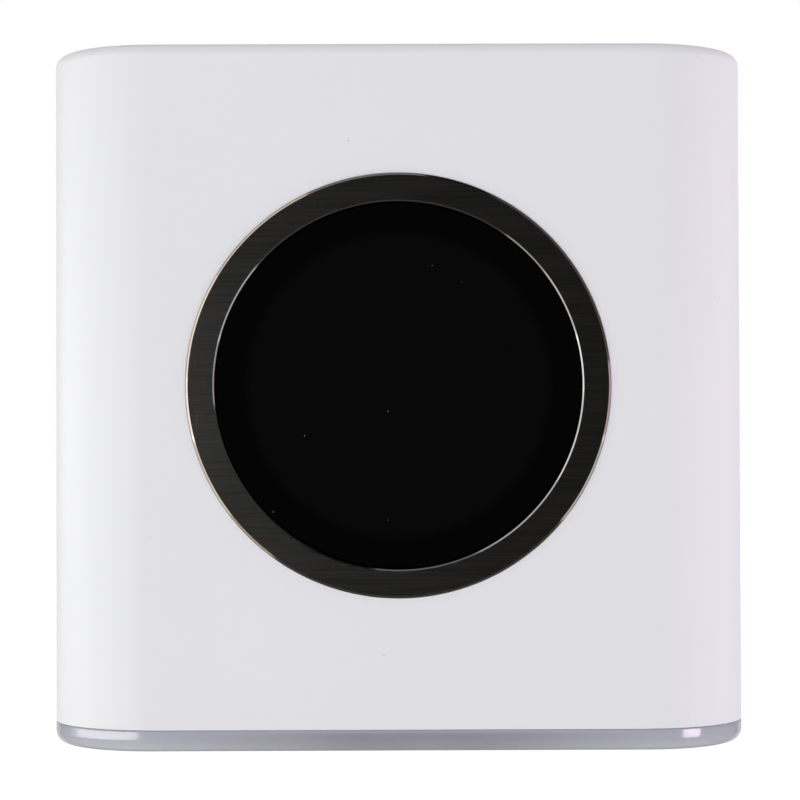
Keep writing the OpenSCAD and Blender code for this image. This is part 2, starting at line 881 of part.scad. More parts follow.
module display_carrier() {
    rim = glass_back + gasket_t;
    color("#404040")
        difference() {
            union() {
                at_display(rim)
                    tube(carrier_or, carrier_ir, carrier_back - rim);
                at_display(lcd_back)
                    tube(carrier_or, standoff_pc - standoff_r - root, carrier_back - lcd_back);
                at_display(flange_front)
                    tube(ring_or, carrier_ir, carrier_t);
                at_carrier_screws(flange_front)
                    cylinder(r = carrier_boss_r, h = carrier_t);
                for (a = [45:90:315])
                    at_display(flange_front)
                        rotate([0, 0, a])
                            translate([carrier_ir, -carrier_boss_r, 0])
                                cube([carrier_screw_pc - carrier_ir, 2 * carrier_boss_r, carrier_t]);
                at_standoffs(carrier_back - root)
                    cylinder(r = standoff_r, h = standoff_h + root);
            }
            at_display(0)
                cylinder(r = carrier_ir, h = lcd_back);
            at_carrier_screws(0)
                cylinder(r = small_r + free_gap, h = carrier_back + root);
            at_standoffs(carrier_back)
                cylinder(r = small_r + slip, h = standoff_h + root);
        }
}

module display_screws() {
    color("silver")
        at_carrier_screws(carrier_back)
            mirror([0, 0, 1])
                screw(small_r, carrier_back - ring_proud - wall / 2 - fit, small_head_r, small_head_h);
}

module display_board() {
    color("darkgreen")
        difference() {
            at_display(board_front)
                cylinder(r = display_board_r, h = display_board_t);
            at_standoffs(board_front - root)
                cylinder(r = small_r + free_gap, h = display_board_t + 2 * root);
        }
}

module display_board_screws() {
    color("silver")
        at_standoffs(board_back)
            mirror([0, 0, 1])
                screw(small_r, display_board_t + standoff_h - fit, small_head_r, small_head_h);
}

module display_driver() {
    color("#1a1a1a")
        at_display(board_back)
            translate([-driver_size / 2, -driver_size / 2, 0])
                cube([driver_size, driver_size, chip_t]);
}

// Flexible circuit from the panel to the display board, bowed once on its way
module display_flex() {
    drop = standoff_pc - standoff_r - flex_in;
    gap = board_front - lcd_back;
    color("#b07a2a")
        at_display(lcd_back)
            translate([-ribbon_w / 2, drop, 0])
                rotate([90, 0, 90])
                    linear_extrude(ribbon_w)
                        polygon([
                            [0, 0],
                            [-flex_bow, gap / 2],
                            [0, gap],
                            [-ribbon_t, gap],
                            [-flex_bow - ribbon_t, gap / 2],
                            [-ribbon_t, 0]
                        ]);
}

// Ribbon from the display board down and back to the main board
module display_ribbon() {
    y0 = -body_d / 2 - ring_proud + board_back + connector_t / 2;
    z1 = display_z - ribbon_drop;
    color("ivory")
        translate([-ribbon_w / 2, 0, 0])
            rotate([90, 0, 90])
                linear_extrude(ribbon_w) {
                    translate([y0, ribbon_z + ribbon_bend])
                        square([ribbon_t, z1 - ribbon_z - ribbon_bend]);
                    translate([y0 + ribbon_bend, ribbon_z])
                        square([board_face - connector_t - y0 - ribbon_bend, ribbon_t]);
                    translate([y0 + ribbon_bend, ribbon_z + ribbon_bend])
                        intersection() {
                            difference() {
                                circle(ribbon_bend);
                                circle(ribbon_bend - ribbon_t);
                            }
                            translate([-ribbon_bend, -ribbon_bend])
                                square(ribbon_bend);
                        }
                }
}

module ribbon_connectors() {
    y0 = -body_d / 2 - ring_proud + board_back;
    z1 = display_z - ribbon_drop;
    half = ribbon_w / 2 + connector_side;
    color("beige") {
        slab([-half, half], [y0, y0 + connector_t], [z1, z1 + connector_h]);
        slab([-half, half], [board_face - connector_t, board_face],
             [ribbon_z + (ribbon_t - connector_h) / 2, ribbon_z + (ribbon_t + connector_h) / 2]);
    }
}

module inner_frame() {
    color("#505458")
        difference() {
            union() {
                prism(wall + deck_gap, boss_top, deck_top);
                for (x = [0, 1])
                    mirror([x, 0, 0])
                        frame_side();
                slab([-frame_x, frame_x], [upright_front, board_rear], [tray_z, tray_top]);
                for (x = [-1, 1])
                    translate([x * antenna_peg, antenna_y, tray_top])
                        peg(antenna_off, antenna_t);
                translate([0, speaker_y, deck_top])
                    tube(speaker_r + fit + speaker_rim, speaker_r + fit, speaker_gasket_t + speaker_rim_h);
            }
            at_posts()
                translate([0, 0, boss_top - root])
                    cylinder(r = screw_r + free_gap, h = deck_t + 2 * root);
            translate([0, speaker_y, boss_top - root])
                cylinder(r = sound_r, h = deck_t + 2 * root);
            for (x = [0, 1])
                mirror([x, 0, 0])
                    slab(deck_window_x, deck_window_y, [boss_top - root, deck_top + root]);
            slab([-flex_w / 2 - flex_slot, flex_w / 2 + flex_slot],
                 [board_face - connector_t - flex_slot, board_face + flex_slot],
                 [boss_top - root, deck_top + root]);
            at_board_screws(board_face + root)
                cylinder(r = screw_r + slip, h = tab_d + 2 * root);
            slab([-tray_slot_x - tray_slot[0] / 2, -tray_slot_x + tray_slot[0] / 2],
                 [tray_slot_y - tray_slot[1] / 2, tray_slot_y + tray_slot[1] / 2],
                 [tray_z - root, tray_top + root]);
            for (i = [-2:2])
                translate([i * tray_vent_pitch, upright_front + tray_vent_in, tray_z - root])
                    linear_extrude(frame_t + 2 * root)
                        stadium(tray_vent[0], tray_vent[1]);
        }
}

// The right upright with its window, its board tabs and its antenna pegs
module frame_side() {
    difference() {
        slab([upright_x, frame_x], [upright_front, board_rear], [boss_top, tray_top]);
        slab([upright_x - root, frame_x + root], [antenna_y - window_y, antenna_y + window_y], window_z);
    }
    for (z = screw_zs)
        slab([board_w / 2 - tab_w, upright_x + root], [board_face - tab_d, board_face],
             [z - tab_h / 2, z + tab_h / 2]);
    for (y = [-1, 1])
        translate([frame_x, antenna_y + y * antenna_peg, antenna_z])
            rotate([0, 90, 0])
                peg(antenna_off, antenna_t);
}

module main_board() {
    color("seagreen")
        difference() {
            slab([-board_w / 2, board_w / 2], [board_face, board_rear], [board_z, board_top]);
            at_board_screws(board_rear + root)
                cylinder(r = screw_r + free_gap, h = board_t + 2 * root);
            at_sink_screws(board_rear + root)
                cylinder(r = small_r + free_gap, h = board_t + 2 * root);
        }
}

module board_screws() {
    color("silver")
        at_board_screws(board_rear)
            screw(screw_r, board_t + tab_d - fit, head_r, head_h);
}

module processor() {
    color("#222222")
        on_board(processor_at, [processor_size, chip_t, processor_size], board_face, -1);
}

module switch_chip() {
    color("#222222")
        on_board(switch_chip_at, [switch_chip_size, chip_t, switch_chip_size], board_face, -1);
}

module radio_chips() {
    color("#222222")
        for (at = radio_at)
            on_board(at, [radio_size, chip_t, radio_size], board_face, -1);
}

module memory_chips() {
    color("#222222")
        for (at = memory_at)
            on_board(at, memory_size, board_face, -1);
}

module thermal_pads() {
    color("lightsteelblue") {
        on_board(processor_at, [processor_size, pad_t, processor_size], board_face - chip_t, -1);
        on_board(switch_chip_at, [switch_chip_size, pad_t, switch_chip_size], board_face - chip_t, -1);
        for (at = radio_at)
            on_board(at, [radio_size, pad_t, radio_size], board_face - chip_t, -1);
    }
}

module heat_sink() {
    fin_step = (sink_w - fin_t) / (fin_count - 1);
    color("silver")
        difference() {
            union() {
                slab([-sink_w / 2, sink_w / 2], [sink_back - sink_base, sink_back], [sink_z, sink_z + sink_h]);
                for (i = [0:fin_count - 1])
                    translate([-sink_w / 2 + i * fin_step, sink_back - sink_base - fin_l, sink_z])
                        cube([fin_t, fin_l + root, sink_h]);
                at_sink_screws(board_face)
                    cylinder(r = leg_r, h = chip_t + pad_t + root);
            }
            at_sink_screws(board_face + root)
                cylinder(r = small_r + slip, h = chip_t + pad_t + sink_base - root);
        }
}

module heat_sink_screws() {
    color("silver")
        at_sink_screws(board_rear)
            screw(small_r, board_t + chip_t + pad_t + sink_base - 3 * root, small_head_r, small_head_h);
}

module radio_shields() {
    inner = [shield_size[0] - 2 * shield_t, shield_size[1] - shield_t, shield_size[2] - 2 * shield_t];
    color("lightgray")
        for (at = shield_at)
            difference() {
                on_board(at, shield_size, board_face, -1);
                on_board(at, [inner[0], inner[1] + root, inner[2]], board_face + root, -1);
            }
}

module magnetics() {
    color("#151515")
        for (at = magnetics_at)
            on_board(at, magnetics_size, board_rear, 1);
}

module capacitors() {
    color("silver")
        for (at = capacitor_at)
            from_rear(board_rear + capacitor_h, at[0], at[1])
                cylinder(r = capacitor_r, h = capacitor_h);
}

module inductors() {
    color("#444448")
        for (at = inductor_at)
            on_board(at, inductor_size, board_rear, 1);
}

// A network socket's mouth, with the latch channel above or below the plug
module mouth(latch) {
    mirror([0, latch > 0 ? 0 : 1])
        translate([0, -mouth_h / 2]) {
            translate([-plug_mouth[0] / 2, 0])
                square(plug_mouth);
            translate([-latch_mouth[0] / 2, 0])
                square([latch_mouth[0], plug_mouth[1] + latch_mouth[1]]);
            translate([-nose_mouth[0] / 2, 0])
                square([nose_mouth[0], mouth_h]);
        }
}

// A block of network sockets at the given places across, with its lower edge at z
module jack_block(xs, w, x, z, latch) {
    difference() {
        slab([x - w / 2, x + w / 2], [board_rear, jack_y], [z, z + jack_h]);
        for (at = xs)
            from_rear(jack_y, at, z + jack_h / 2)
                translate([0, 0, -root])
                    linear_extrude(cavity_d + root)
                        mouth(latch);
    }
}

// Eight sprung contacts that run back along the wall facing the latch
module jack_contacts(xs, z, latch) {
    for (at = xs, i = [-3.5:1:3.5])
        translate([at + i * contact_pitch - contact_w / 2, jack_y, z + jack_h / 2])
            mirror([0, 0, latch > 0 ? 0 : 1])
                translate([0, 0, -mouth_h / 2])
                    rotate([90, 0, 90])
                        linear_extrude(contact_w)
                            polygon([
                                [-contact_start, 0],
                                [-cavity_d, contact_rise],
                                [-cavity_d, contact_rise + contact_t],
                                [-contact_start, contact_t]
                            ]);
}

function lan_xs() = [for (i = [0:lan_count - 1]) (i - (lan_count - 1) / 2) * jack_pitch];

module lan_jack() {
    color("#18181a")
        jack_block(lan_xs(), lan_w, 0, lan_z, -1);
}

module lan_contacts() {
    color("gold")
        jack_contacts(lan_xs(), lan_z, -1);
}

module wan_jack() {
    color("#2b4f7d")
        jack_block([wan_x], wan_w, wan_x, wan_z, 1);
}

module wan_contacts() {
    color("gold")
        jack_contacts([wan_x], wan_z, 1);
}

module usb_shell() {
    w = usb_mouth[0] / 2;
    h = usb_mouth[1] / 2;
    y = [jack_y - usb_shell_l, jack_y];
    color("silver")
        difference() {
            slab([usb_x - w - sheet_t, usb_x + w + sheet_t], y, [row_z - h - sheet_t, row_z + h + sheet_t]);
            slab([usb_x - w, usb_x + w], [y[0] - root, y[1] + root], [row_z - h, row_z + h]);
        }
}

// Foot, back wall and tongue of the flat serial socket
module usb_insulator() {
    w = usb_mouth[0] / 2;
    h = usb_mouth[1] / 2;
    back = jack_y - usb_shell_l;
    tongue_z = row_z + usb_tongue_up;
    color("#101010") {
        slab([usb_x - w - sheet_t, usb_x + w + sheet_t], [board_rear, back],
             [row_z - h - sheet_t, row_z + h + sheet_t]);
        slab([usb_x - w + slip, usb_x + w - slip], [back, back + usb_wall],
             [row_z - h + slip, row_z + h - slip]);
        slab([usb_x - usb_tongue[0] / 2, usb_x + usb_tongue[0] / 2], [back, jack_y - tongue_short],
             [tongue_z - usb_tongue[1] / 2, tongue_z + usb_tongue[1] / 2]);
    }
}

module usb_contacts() {
    size = usb_contact_size;
    back = jack_y - usb_shell_l + usb_wall;
    top = row_z + usb_tongue_up - usb_tongue[1] / 2;
    color("gold")
        for (i = [-1.5:1:1.5])
            slab([usb_x + i * usb_contact_pitch - size[0] / 2, usb_x + i * usb_contact_pitch + size[0] / 2],
                 [back, back + size[1]], [top - size[2], top]);
}

module power_shell() {
    color("silver")
        from_rear(jack_y, power_x, row_z)
            linear_extrude(power_shell_l)
                difference() {
                    stadium(power_mouth[0] + 2 * sheet_t, power_mouth[1] + 2 * sheet_t);
                    stadium(power_mouth[0], power_mouth[1]);
                }
}

// Foot, back wall and tongue of the power socket
module power_insulator() {
    back = jack_y - power_shell_l;
    w = power_mouth[0] / 2 + sheet_t;
    h = power_mouth[1] / 2 + sheet_t;
    color("#101010") {
        slab([power_x - w, power_x + w], [board_rear, back], [row_z - h, row_z + h]);
        from_rear(back + power_wall, power_x, row_z)
            linear_extrude(power_wall)
                stadium(power_mouth[0] - 2 * slip, power_mouth[1] - 2 * slip);
        slab([power_x - power_tongue[0] / 2, power_x + power_tongue[0] / 2], [back, jack_y - tongue_short],
             [row_z - power_tongue[1] / 2, row_z + power_tongue[1] / 2]);
    }
}

module reset_switch() {
    color("#303034")
        difference() {
            on_board([reset_x, row_z], [switch_w, switch_h, switch_w], board_rear, 1);
            from_rear(switch_top + root, reset_x, row_z)
                cylinder(r = switch_stem_r + slip, h = root + switch_stem_in + button_travel + fit);
        }
}

module reset_stem() {
    color("#c8c8c8")
        from_rear(switch_end, reset_x, row_z)
            cylinder(r = switch_stem_r, h = switch_stem_out + switch_stem_in);
}

module reset_button() {
    color("#d8d8da")
        from_rear(panel_y - button_sunk, reset_x, row_z) {
            cylinder(r = button_r, h = panel_y - button_sunk - collar_y + collar_t);
            translate([0, 0, panel_y - button_sunk - collar_y])
                cylinder(r = collar_r, h = collar_t);
            cylinder(r = button_stem_r, h = panel_y - button_sunk - switch_end);
        }
}

module port_panel() {
    side = bay_w / 2 + flange_side;
    color("gainsboro")
        difference() {
            union() {
                intersection() {
                    slab([-side, side], [flange_y - flange_t, flange_y],
                         [bay_z0 - flange_low, bay_z1 + flange_side]);
                    prism(wall, 0, body_h);
                }
                bay(fit, flange_y - root, panel_y);
            }
            slab([-lan_w / 2 - fit, lan_w / 2 + fit], [board_rear, rear_y],
                 [lan_z - fit, lan_z + jack_h + fit]);
            slab([wan_x - wan_w / 2 - fit, wan_x + wan_w / 2 + fit], [board_rear, rear_y],
                 [wan_z - fit, wan_z + jack_h + fit]);
            from_rear(rear_y, usb_x, row_z)
                linear_extrude(rear_y - board_rear)
                    square(usb_mouth + 2 * (sheet_t + fit) * [1, 1], center = true);
            from_rear(rear_y, power_x, row_z)
                linear_extrude(rear_y - board_rear)
                    stadium(power_mouth[0] + 2 * (sheet_t + fit), power_mouth[1] + 2 * (sheet_t + fit));
            from_rear(rear_y, reset_x, row_z)
                cylinder(r = button_r + slip, h = rear_y - board_rear);
            at_panel_pegs(rear_y)
                cylinder(r = peg_r + slip, h = rear_y - board_rear);
        }
}

module light_strip() {
    color("white")
        prism_ring(upstand_in + 2 * fit, base_in, seam_z, seam_z + strip_t);
}

module light_emitters() {
    run_x = body_w / 2 - upstand_in - 2 * fit - led_size[1];
    run_y = body_d / 2 - upstand_in - 2 * fit - led_size[1];
    z = [seam_z + strip_t, seam_z + strip_t + led_size[2]];
    color("lightyellow")
        for (i = [0:leds_per_side - 1], side = [0, 1]) {
            along_x = (i - (leds_per_side - 1) / 2) * 2 * post_x / leds_per_side;
            along_y = (i - (leds_per_side - 1) / 2) * 2 * post_y / leds_per_side;
            mirror([0, side, 0])
                slab([along_x - led_size[0] / 2, along_x + led_size[0] / 2], [run_y, run_y + led_size[1]], z);
            mirror([side, 0, 0])
                slab([run_x, run_x + led_size[1]], [along_y - led_size[0] / 2, along_y + led_size[0] / 2], z);
        }
}

// Flexible circuit from the light strip, forwards under the deck and up to the main board
module light_flex() {
    z0 = seam_z + strip_t;
    y0 = rear_y - base_in + flex_lap;
    y1 = board_face - connector_t / 2;
    color("#b07a2a")
        translate([-flex_w / 2, 0, 0])
            rotate([90, 0, 90])
                linear_extrude(flex_w)
                    polygon([
                        [y0, z0],
                        [y1, z0],
                        [y1, light_plug_z - connector_h / 2],
                        [y1 + ribbon_t, light_plug_z - connector_h / 2],
                        [y1 + ribbon_t, z0 + ribbon_t],
                        [y0, z0 + ribbon_t]
                    ]);
}

module board_plugs() {
    color("beige") {
        on_board([0, light_plug_z], [plug_w, connector_t, connector_h], board_face, -1);
        on_board([speaker_plug_x, light_plug_z], [plug_w, connector_t, connector_h], board_face, -1);
    }
}

// The speaker faces down: a rim, a basket with its dished cone, and a magnet
module speaker() {
    color("#26262a")
        translate([0, speaker_y, deck_top + speaker_gasket_t])
            rotate_extrude()
                polygon([
                    [0, cone_dish],
                    [sound_r - cone_dish, cone_dish],
                    [sound_r, 0],
                    [speaker_r, 0],
                    [speaker_r, speaker_edge_h],
                    [sound_r, speaker_edge_h],
                    [basket_r, basket_h],
                    [magnet_r, basket_h],
                    [magnet_r, speaker_h],
                    [0, speaker_h]
                ]);
}

module speaker_gasket() {
    color("#303030")
        translate([0, speaker_y, deck_top])
            tube(speaker_r, sound_r, speaker_gasket_t);
}

module speaker_lead() {
    color("firebrick")
        lead(speaker_lead_route, speaker_lead_d);
}

// An antenna board with holes for its two pegs, lying in its own X and Y
module antenna_plate() {
    color("#2f6b3a")
        difference() {
            translate([-antenna_l / 2, -antenna_w / 2, 0])
                cube([antenna_l, antenna_w, antenna_t]);
            for (x = [-1, 1])
                translate([x * antenna_peg, 0, -root])
                    cylinder(r = peg_r + slip, h = antenna_t + 2 * root);
        }
}

module antenna_right() {
    translate([frame_x + antenna_off, antenna_y, antenna_z])
        rotate([90, 0, 90])
            antenna_plate();
}

module antenna_left() {
    mirror([1, 0, 0])
        antenna_right();
}

module antenna_top() {
    translate([0, antenna_y, tray_top + antenna_off])
        antenna_plate();
}

module antenna_leads() {
    color("#d0d0d0")
        for (route = [right_lead, left_lead, top_lead])
            lead(route, coax_d);
}

module antenna_plugs() {
    color("gold")
        for (at = coax_plug_at)
            from_rear(board_face, at[0], at[1])
                cylinder(r = coax_plug_r, h = coax_plug_t);
}

outer_shell();
light_base();
bottom_plate();
rubber_feet();
shell_screws();
bezel_ring();
bezel_tape();
display_glass();
touch_film();
lcd_panel();
glass_gasket();
display_carrier();
display_screws();
display_board();
display_board_screws();
display_driver();
display_flex();
display_ribbon();
ribbon_connectors();
inner_frame();
main_board();
board_screws();
processor();
switch_chip();
radio_chips();
memory_chips();
thermal_pads();
heat_sink();
heat_sink_screws();
radio_shields();
magnetics();
capacitors();
inductors();
lan_jack();
lan_contacts();
wan_jack();
wan_contacts();
usb_shell();
usb_insulator();
usb_contacts();
power_shell();
power_insulator();
reset_switch();
reset_stem();
reset_button();
port_panel();
light_strip();
light_emitters();
light_flex();
board_plugs();
speaker();
speaker_gasket();
speaker_lead();
antenna_left();
antenna_right();
antenna_top();
antenna_leads();
antenna_plugs();
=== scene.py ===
# %% [markdown]
# # A cube-shaped home network hub
# A white shell stands on a translucent light base. A round display looks out through a brushed metal
# bezel, and the network sockets are at the rear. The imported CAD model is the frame: every piece here is
# placed from its boxes, in metres, in the same coordinates. The display faces -Y, +Z is up, and the hub
# stands on z = 0.

# %% Load the frame
import json
import math

import bmesh
import bpy
from mathutils import Matrix, Vector


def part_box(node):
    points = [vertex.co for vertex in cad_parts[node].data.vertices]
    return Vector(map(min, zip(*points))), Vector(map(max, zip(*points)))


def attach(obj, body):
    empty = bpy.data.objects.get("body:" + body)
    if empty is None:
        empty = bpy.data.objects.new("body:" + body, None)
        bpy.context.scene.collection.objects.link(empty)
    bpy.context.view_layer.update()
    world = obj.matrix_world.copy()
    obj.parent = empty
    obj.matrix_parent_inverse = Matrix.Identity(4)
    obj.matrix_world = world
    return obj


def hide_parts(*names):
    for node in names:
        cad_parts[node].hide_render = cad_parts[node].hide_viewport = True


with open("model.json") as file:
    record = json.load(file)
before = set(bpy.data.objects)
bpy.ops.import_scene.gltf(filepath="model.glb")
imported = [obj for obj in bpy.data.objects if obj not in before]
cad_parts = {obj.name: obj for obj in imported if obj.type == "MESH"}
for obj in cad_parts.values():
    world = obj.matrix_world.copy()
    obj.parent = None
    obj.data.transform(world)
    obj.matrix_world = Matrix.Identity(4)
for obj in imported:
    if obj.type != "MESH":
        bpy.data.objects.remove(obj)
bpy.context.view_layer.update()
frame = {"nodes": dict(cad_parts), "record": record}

MM = 0.001

# %% [markdown]
# ## Camera
# The picture is taken almost straight at the front with a long lens, so the sides hardly show. A pinhole
# camera that was fitted to the hub's outline and to the bezel gives a place, three angles and a focal
# length. No lens shift is needed, so a camera that is turned round the hub keeps it in the middle.

# %% Camera
SENSOR_W, FOCAL = 36.0, 107.71  # in mm, as a camera's data sheet gives them
NEAREST = 10 * MM
CAMERA_AT = Vector((-1.10, -383.01, 43.80)) * MM
CAMERA_TURN = (90.973, 0.184, -0.224)  # degrees round X, Y and Z
camera_data = bpy.data.cameras.new("camera")
camera_data.sensor_width = SENSOR_W
camera_data.lens = FOCAL
camera_data.clip_start = NEAREST
camera = bpy.data.objects.new("camera", camera_data)
camera.location = CAMERA_AT
camera.rotation_euler = [math.radians(angle) for angle in CAMERA_TURN]
bpy.context.scene.collection.objects.link(camera)
bpy.context.scene.camera = camera
print("the camera stands", round(-camera.location.y / MM), "mm in front of the hub's middle")

# %% [markdown]
# ## Colours and nodes
# Colours are written as sRGB hex, as they would be picked from a screen, and Cycles needs them linear.
# One helper adds any kind of node with its settings and inputs, so each material below reads as a list of
# what feeds what. Every pattern is placed by object coordinates, which are metres in the hub's own frame,
# so a grain of 0.3 mm is a Noise texture with a scale of one over 0.3 mm.

# %% Colour and node helpers
def colour(hex_code):
    """An sRGB hex colour as the linear RGBA that Cycles works in."""
    parts = [int(hex_code[i:i + 2], 16) / 255 for i in (1, 3, 5)]
    return [p / 12.92 if p <= 0.04045 else ((p + 0.055) / 1.055) ** 2.4 for p in parts] + [1.0]


def feed(tree, node, inputs):
    """Sets a node's inputs to values, or links them from other sockets."""
    for name, value in inputs.items():
        if isinstance(value, bpy.types.NodeSocket):
            tree.links.new(value, node.inputs[name])
        else:
            node.inputs[name].default_value = value


def add(tree, kind, inputs, **settings):
    """Adds a node with its settings and its inputs."""
    node = tree.nodes.new("ShaderNode" + kind)
    for name, value in settings.items():
        setattr(node, name, value)
    feed(tree, node, inputs)
    return node


def start_material(name):
    """A new material with its node tree, its shader and its object coordinates in metres."""
    material = bpy.data.materials.new(name)
    material.use_nodes = True
    tree = material.node_tree
    shader = tree.nodes["Principled BSDF"]
    place = add(tree, "TexCoord", {}).outputs["Object"]
    return material, tree, shader, place


FIRST, SECOND, MIXED = 6, 7, 2  # the colour sockets of a Mix node that is set to RGBA
print("white in linear light:", [round(x, 3) for x in colour("#ffffff")])

# %% [markdown]
# ## From mesh to piece
# A bmesh becomes an object at the origin, with its place in its vertices, and rides a body of the frame.
# Its faces are shaded smooth, edges sharper than an angle stay crisp, and a Weighted Normal modifier lets
# the large flat faces keep their own direction, so that no false shade creeps over them. A piece whose
# edges are still sharp can get a Bevel modifier, because a moulded or pressed edge always has a small
# round that catches the light.

# %% Piece helpers
CRISP = math.radians(32)
EDGE_STEPS = 2
DOUBLES = 1e-7


def make_piece(name, bm, material, slot, *nodes, body="hub", edge=0.0):
    """Turns a bmesh into a piece that rides a body and stands for some CAD nodes."""
    mesh = bpy.data.meshes.new(name)
    bm.to_mesh(mesh)
    bm.free()
    mesh.materials.append(material)
    mesh.shade_smooth()
    piece = bpy.data.objects.new(name, mesh)
    bpy.context.scene.collection.objects.link(piece)
    if edge:
        bevel = piece.modifiers.new("edge round", "BEVEL")
        bevel.width = edge
        bevel.segments = EDGE_STEPS
        bevel.limit_method = "ANGLE"
        bevel.angle_limit = CRISP
    else:
        mesh.set_sharp_from_angle(angle=CRISP)
    weights = piece.modifiers.new("flat faces lead", "WEIGHTED_NORMAL")
    weights.keep_sharp = True
    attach(piece, body)
    if nodes:
        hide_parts(*nodes)
    print(name, "has", len(mesh.polygons), "faces")
    return piece


def closed(bm):
    """Merges doubles and points all faces outwards."""
    bmesh.ops.remove_doubles(bm, verts=bm.verts, dist=DOUBLES)
    bmesh.ops.recalc_face_normals(bm, faces=bm.faces)
    return bm


def joined(parts):
    """Several bmeshes put together as one."""
    whole = bmesh.new()
    for part in parts:
        mesh = bpy.data.meshes.new("part")
        part.to_mesh(mesh)
        part.free()
        whole.from_mesh(mesh)
        bpy.data.meshes.remove(mesh)
    return whole


print("edges sharper than", round(math.degrees(CRISP)), "degrees stay crisp")

# %% [markdown]
# ## Blocks, turned parts and cuts
# Most moulded pieces start as a box whose edges are bevelled round. Round pieces are turned like on a
# lathe: a few points of the half section are spun once round an axis. Openings are cut with a Boolean
# modifier, whose result is read back into a bmesh, so that the edges of the opening can be rounded too.

# %% Shape helpers
PARALLEL = 0.999
ON_PLANE = 1e-6


def round_edges(bm, edges, radius, segments):
    """Bevels edges to a round of the given radius."""
    bmesh.ops.bevel(bm, geom=list(edges), offset=radius, offset_type="OFFSET", affect="EDGES",
                    segments=segments, profile=0.5, material=-1, clamp_overlap=False)


def block(low, high):
    """A box between two corners."""
    bm = bmesh.new()
    bmesh.ops.create_cube(bm, size=1)
    middle = (Vector(low) + Vector(high)) / 2
    size = Vector(high) - Vector(low)
    bmesh.ops.transform(bm, matrix=Matrix.LocRotScale(middle, None, size), verts=bm.verts)
    return bm


def along(bm, axis):
    """The edges that run along an axis: 0, 1 or 2."""
    return [e for e in bm.edges
            if abs((e.verts[0].co - e.verts[1].co).normalized()[axis]) > PARALLEL]


def at_level(items, axis, level):
    """The edges or faces that lie in a plane across an axis."""
    return [item for item in items if all(abs(v.co[axis] - level) < ON_PLANE for v in item.verts)]


def turned(profile, centre, axis, steps):
    """A profile of (radius, height) points, spun once round an axis."""
    bm = bmesh.new()
    axis = Vector(axis)
    side = Vector((1, 0, 0))
    points = [bm.verts.new(Vector(centre) + side * r + axis * h) for r, h in profile]
    edges = [bm.edges.new(pair) for pair in zip(points, points[1:])]
    bmesh.ops.spin(bm, geom=points + edges, cent=centre, axis=axis, dvec=(0, 0, 0),
                   angle=math.tau, steps=steps, use_merge=True, use_duplicate=False)
    return closed(bm)


def as_object(name, bm):
    """A plain helper object for the Boolean modifier."""
    mesh = bpy.data.meshes.new(name)
    bm.to_mesh(mesh)
    bm.free()
    helper = bpy.data.objects.new(name, mesh)
    bpy.context.scene.collection.objects.link(helper)
    return helper


def cut(bm, *cutters):
    """Takes cutters away from a mesh with Boolean modifiers and gives the result back as a bmesh."""
    target = as_object("target", bm)
    tools = [as_object("cutter", cutter) for cutter in cutters]
    for tool in tools:
        boolean = target.modifiers.new("cut", "BOOLEAN")
        boolean.operation = "DIFFERENCE"
        boolean.solver = "EXACT"
        boolean.object = tool
    shaped = target.evaluated_get(bpy.context.evaluated_depsgraph_get())
    result = bmesh.new()
    result.from_mesh(shaped.to_mesh())
    shaped.to_mesh_clear()
    for helper in [target] + tools:
        bpy.data.objects.remove(helper)
    return result


print("shape helpers: block, turned, cut")

# %% [markdown]
# ## Satin ABS
# The shell is injection-moulded white ABS. The mould was spark-eroded, which prints a fine grain on the
# plastic and turns its gloss into a soft sheen. The plastic's flow leaves slow, faint shading, and handling
# leaves a few tiny grey marks. The marks are small balls in a 3D Voronoi texture: only where the surface
# happens to cut one does a speck show, so they stay rare.

# %% Satin ABS
GRAIN = 0.3 * MM  # the real grain is about 0.1 mm, drawn coarser so that it shows
FLOW = 30 * MM
GRAIN_DEPTH = 0.004 * MM
SPECK_APART, SPECK_R = 7 * MM, 0.2 * MM
SPECK_CORE, SPECK_TONE = 0.3, 0.35
SATIN = {"To Min": 0.40, "To Max": 0.56}
ABS_IOR = 1.54

satin_abs, tree, shader, place = start_material("satin_abs_white")
flow = add(tree, "TexNoise", {"Vector": place, "Scale": 1 / FLOW, "Detail": 3.0})
white = add(tree, "Mix", {"Factor": flow.outputs["Fac"], FIRST: colour("#e8e8ea"),
                          SECOND: colour("#e4e5e7")}, data_type="RGBA")
marks = add(tree, "TexVoronoi", {"Vector": place, "Scale": 1 / SPECK_APART})
near = add(tree, "MapRange", {"Value": marks.outputs["Distance"], "From Min": SPECK_R / SPECK_APART,
                              "From Max": SPECK_CORE * SPECK_R / SPECK_APART, "To Max": SPECK_TONE})
marked = add(tree, "Mix", {"Factor": near.outputs["Result"], FIRST: white.outputs[MIXED],
                           SECOND: colour("#8a8a88")}, data_type="RGBA")
pits = add(tree, "TexNoise", {"Vector": place, "Scale": 1 / GRAIN, "Detail": 2.0})
sheen = add(tree, "MapRange", {"Value": pits.outputs["Fac"], **SATIN})
relief = add(tree, "Bump", {"Height": pits.outputs["Fac"], "Distance": GRAIN_DEPTH})
feed(tree, shader, {"Base Color": marked.outputs[MIXED], "Roughness": sheen.outputs["Result"],
                    "Normal": relief.outputs["Normal"], "IOR": ABS_IOR})
print(satin_abs.name, "has", len(tree.nodes), "nodes")

# %% [markdown]
# ## Shell
# The shell is one hollow moulding, open at the bottom, with wide upright corners and a small fillet round
# the top. It could be a cube with a Subdivision modifier, but its flat faces would then bulge, so a box is
# bevelled twice: first the four uprights, then the top edge. The hollow, the bezel's seat and the bay for
# the sockets are cut out, and the cut edges get a small round.

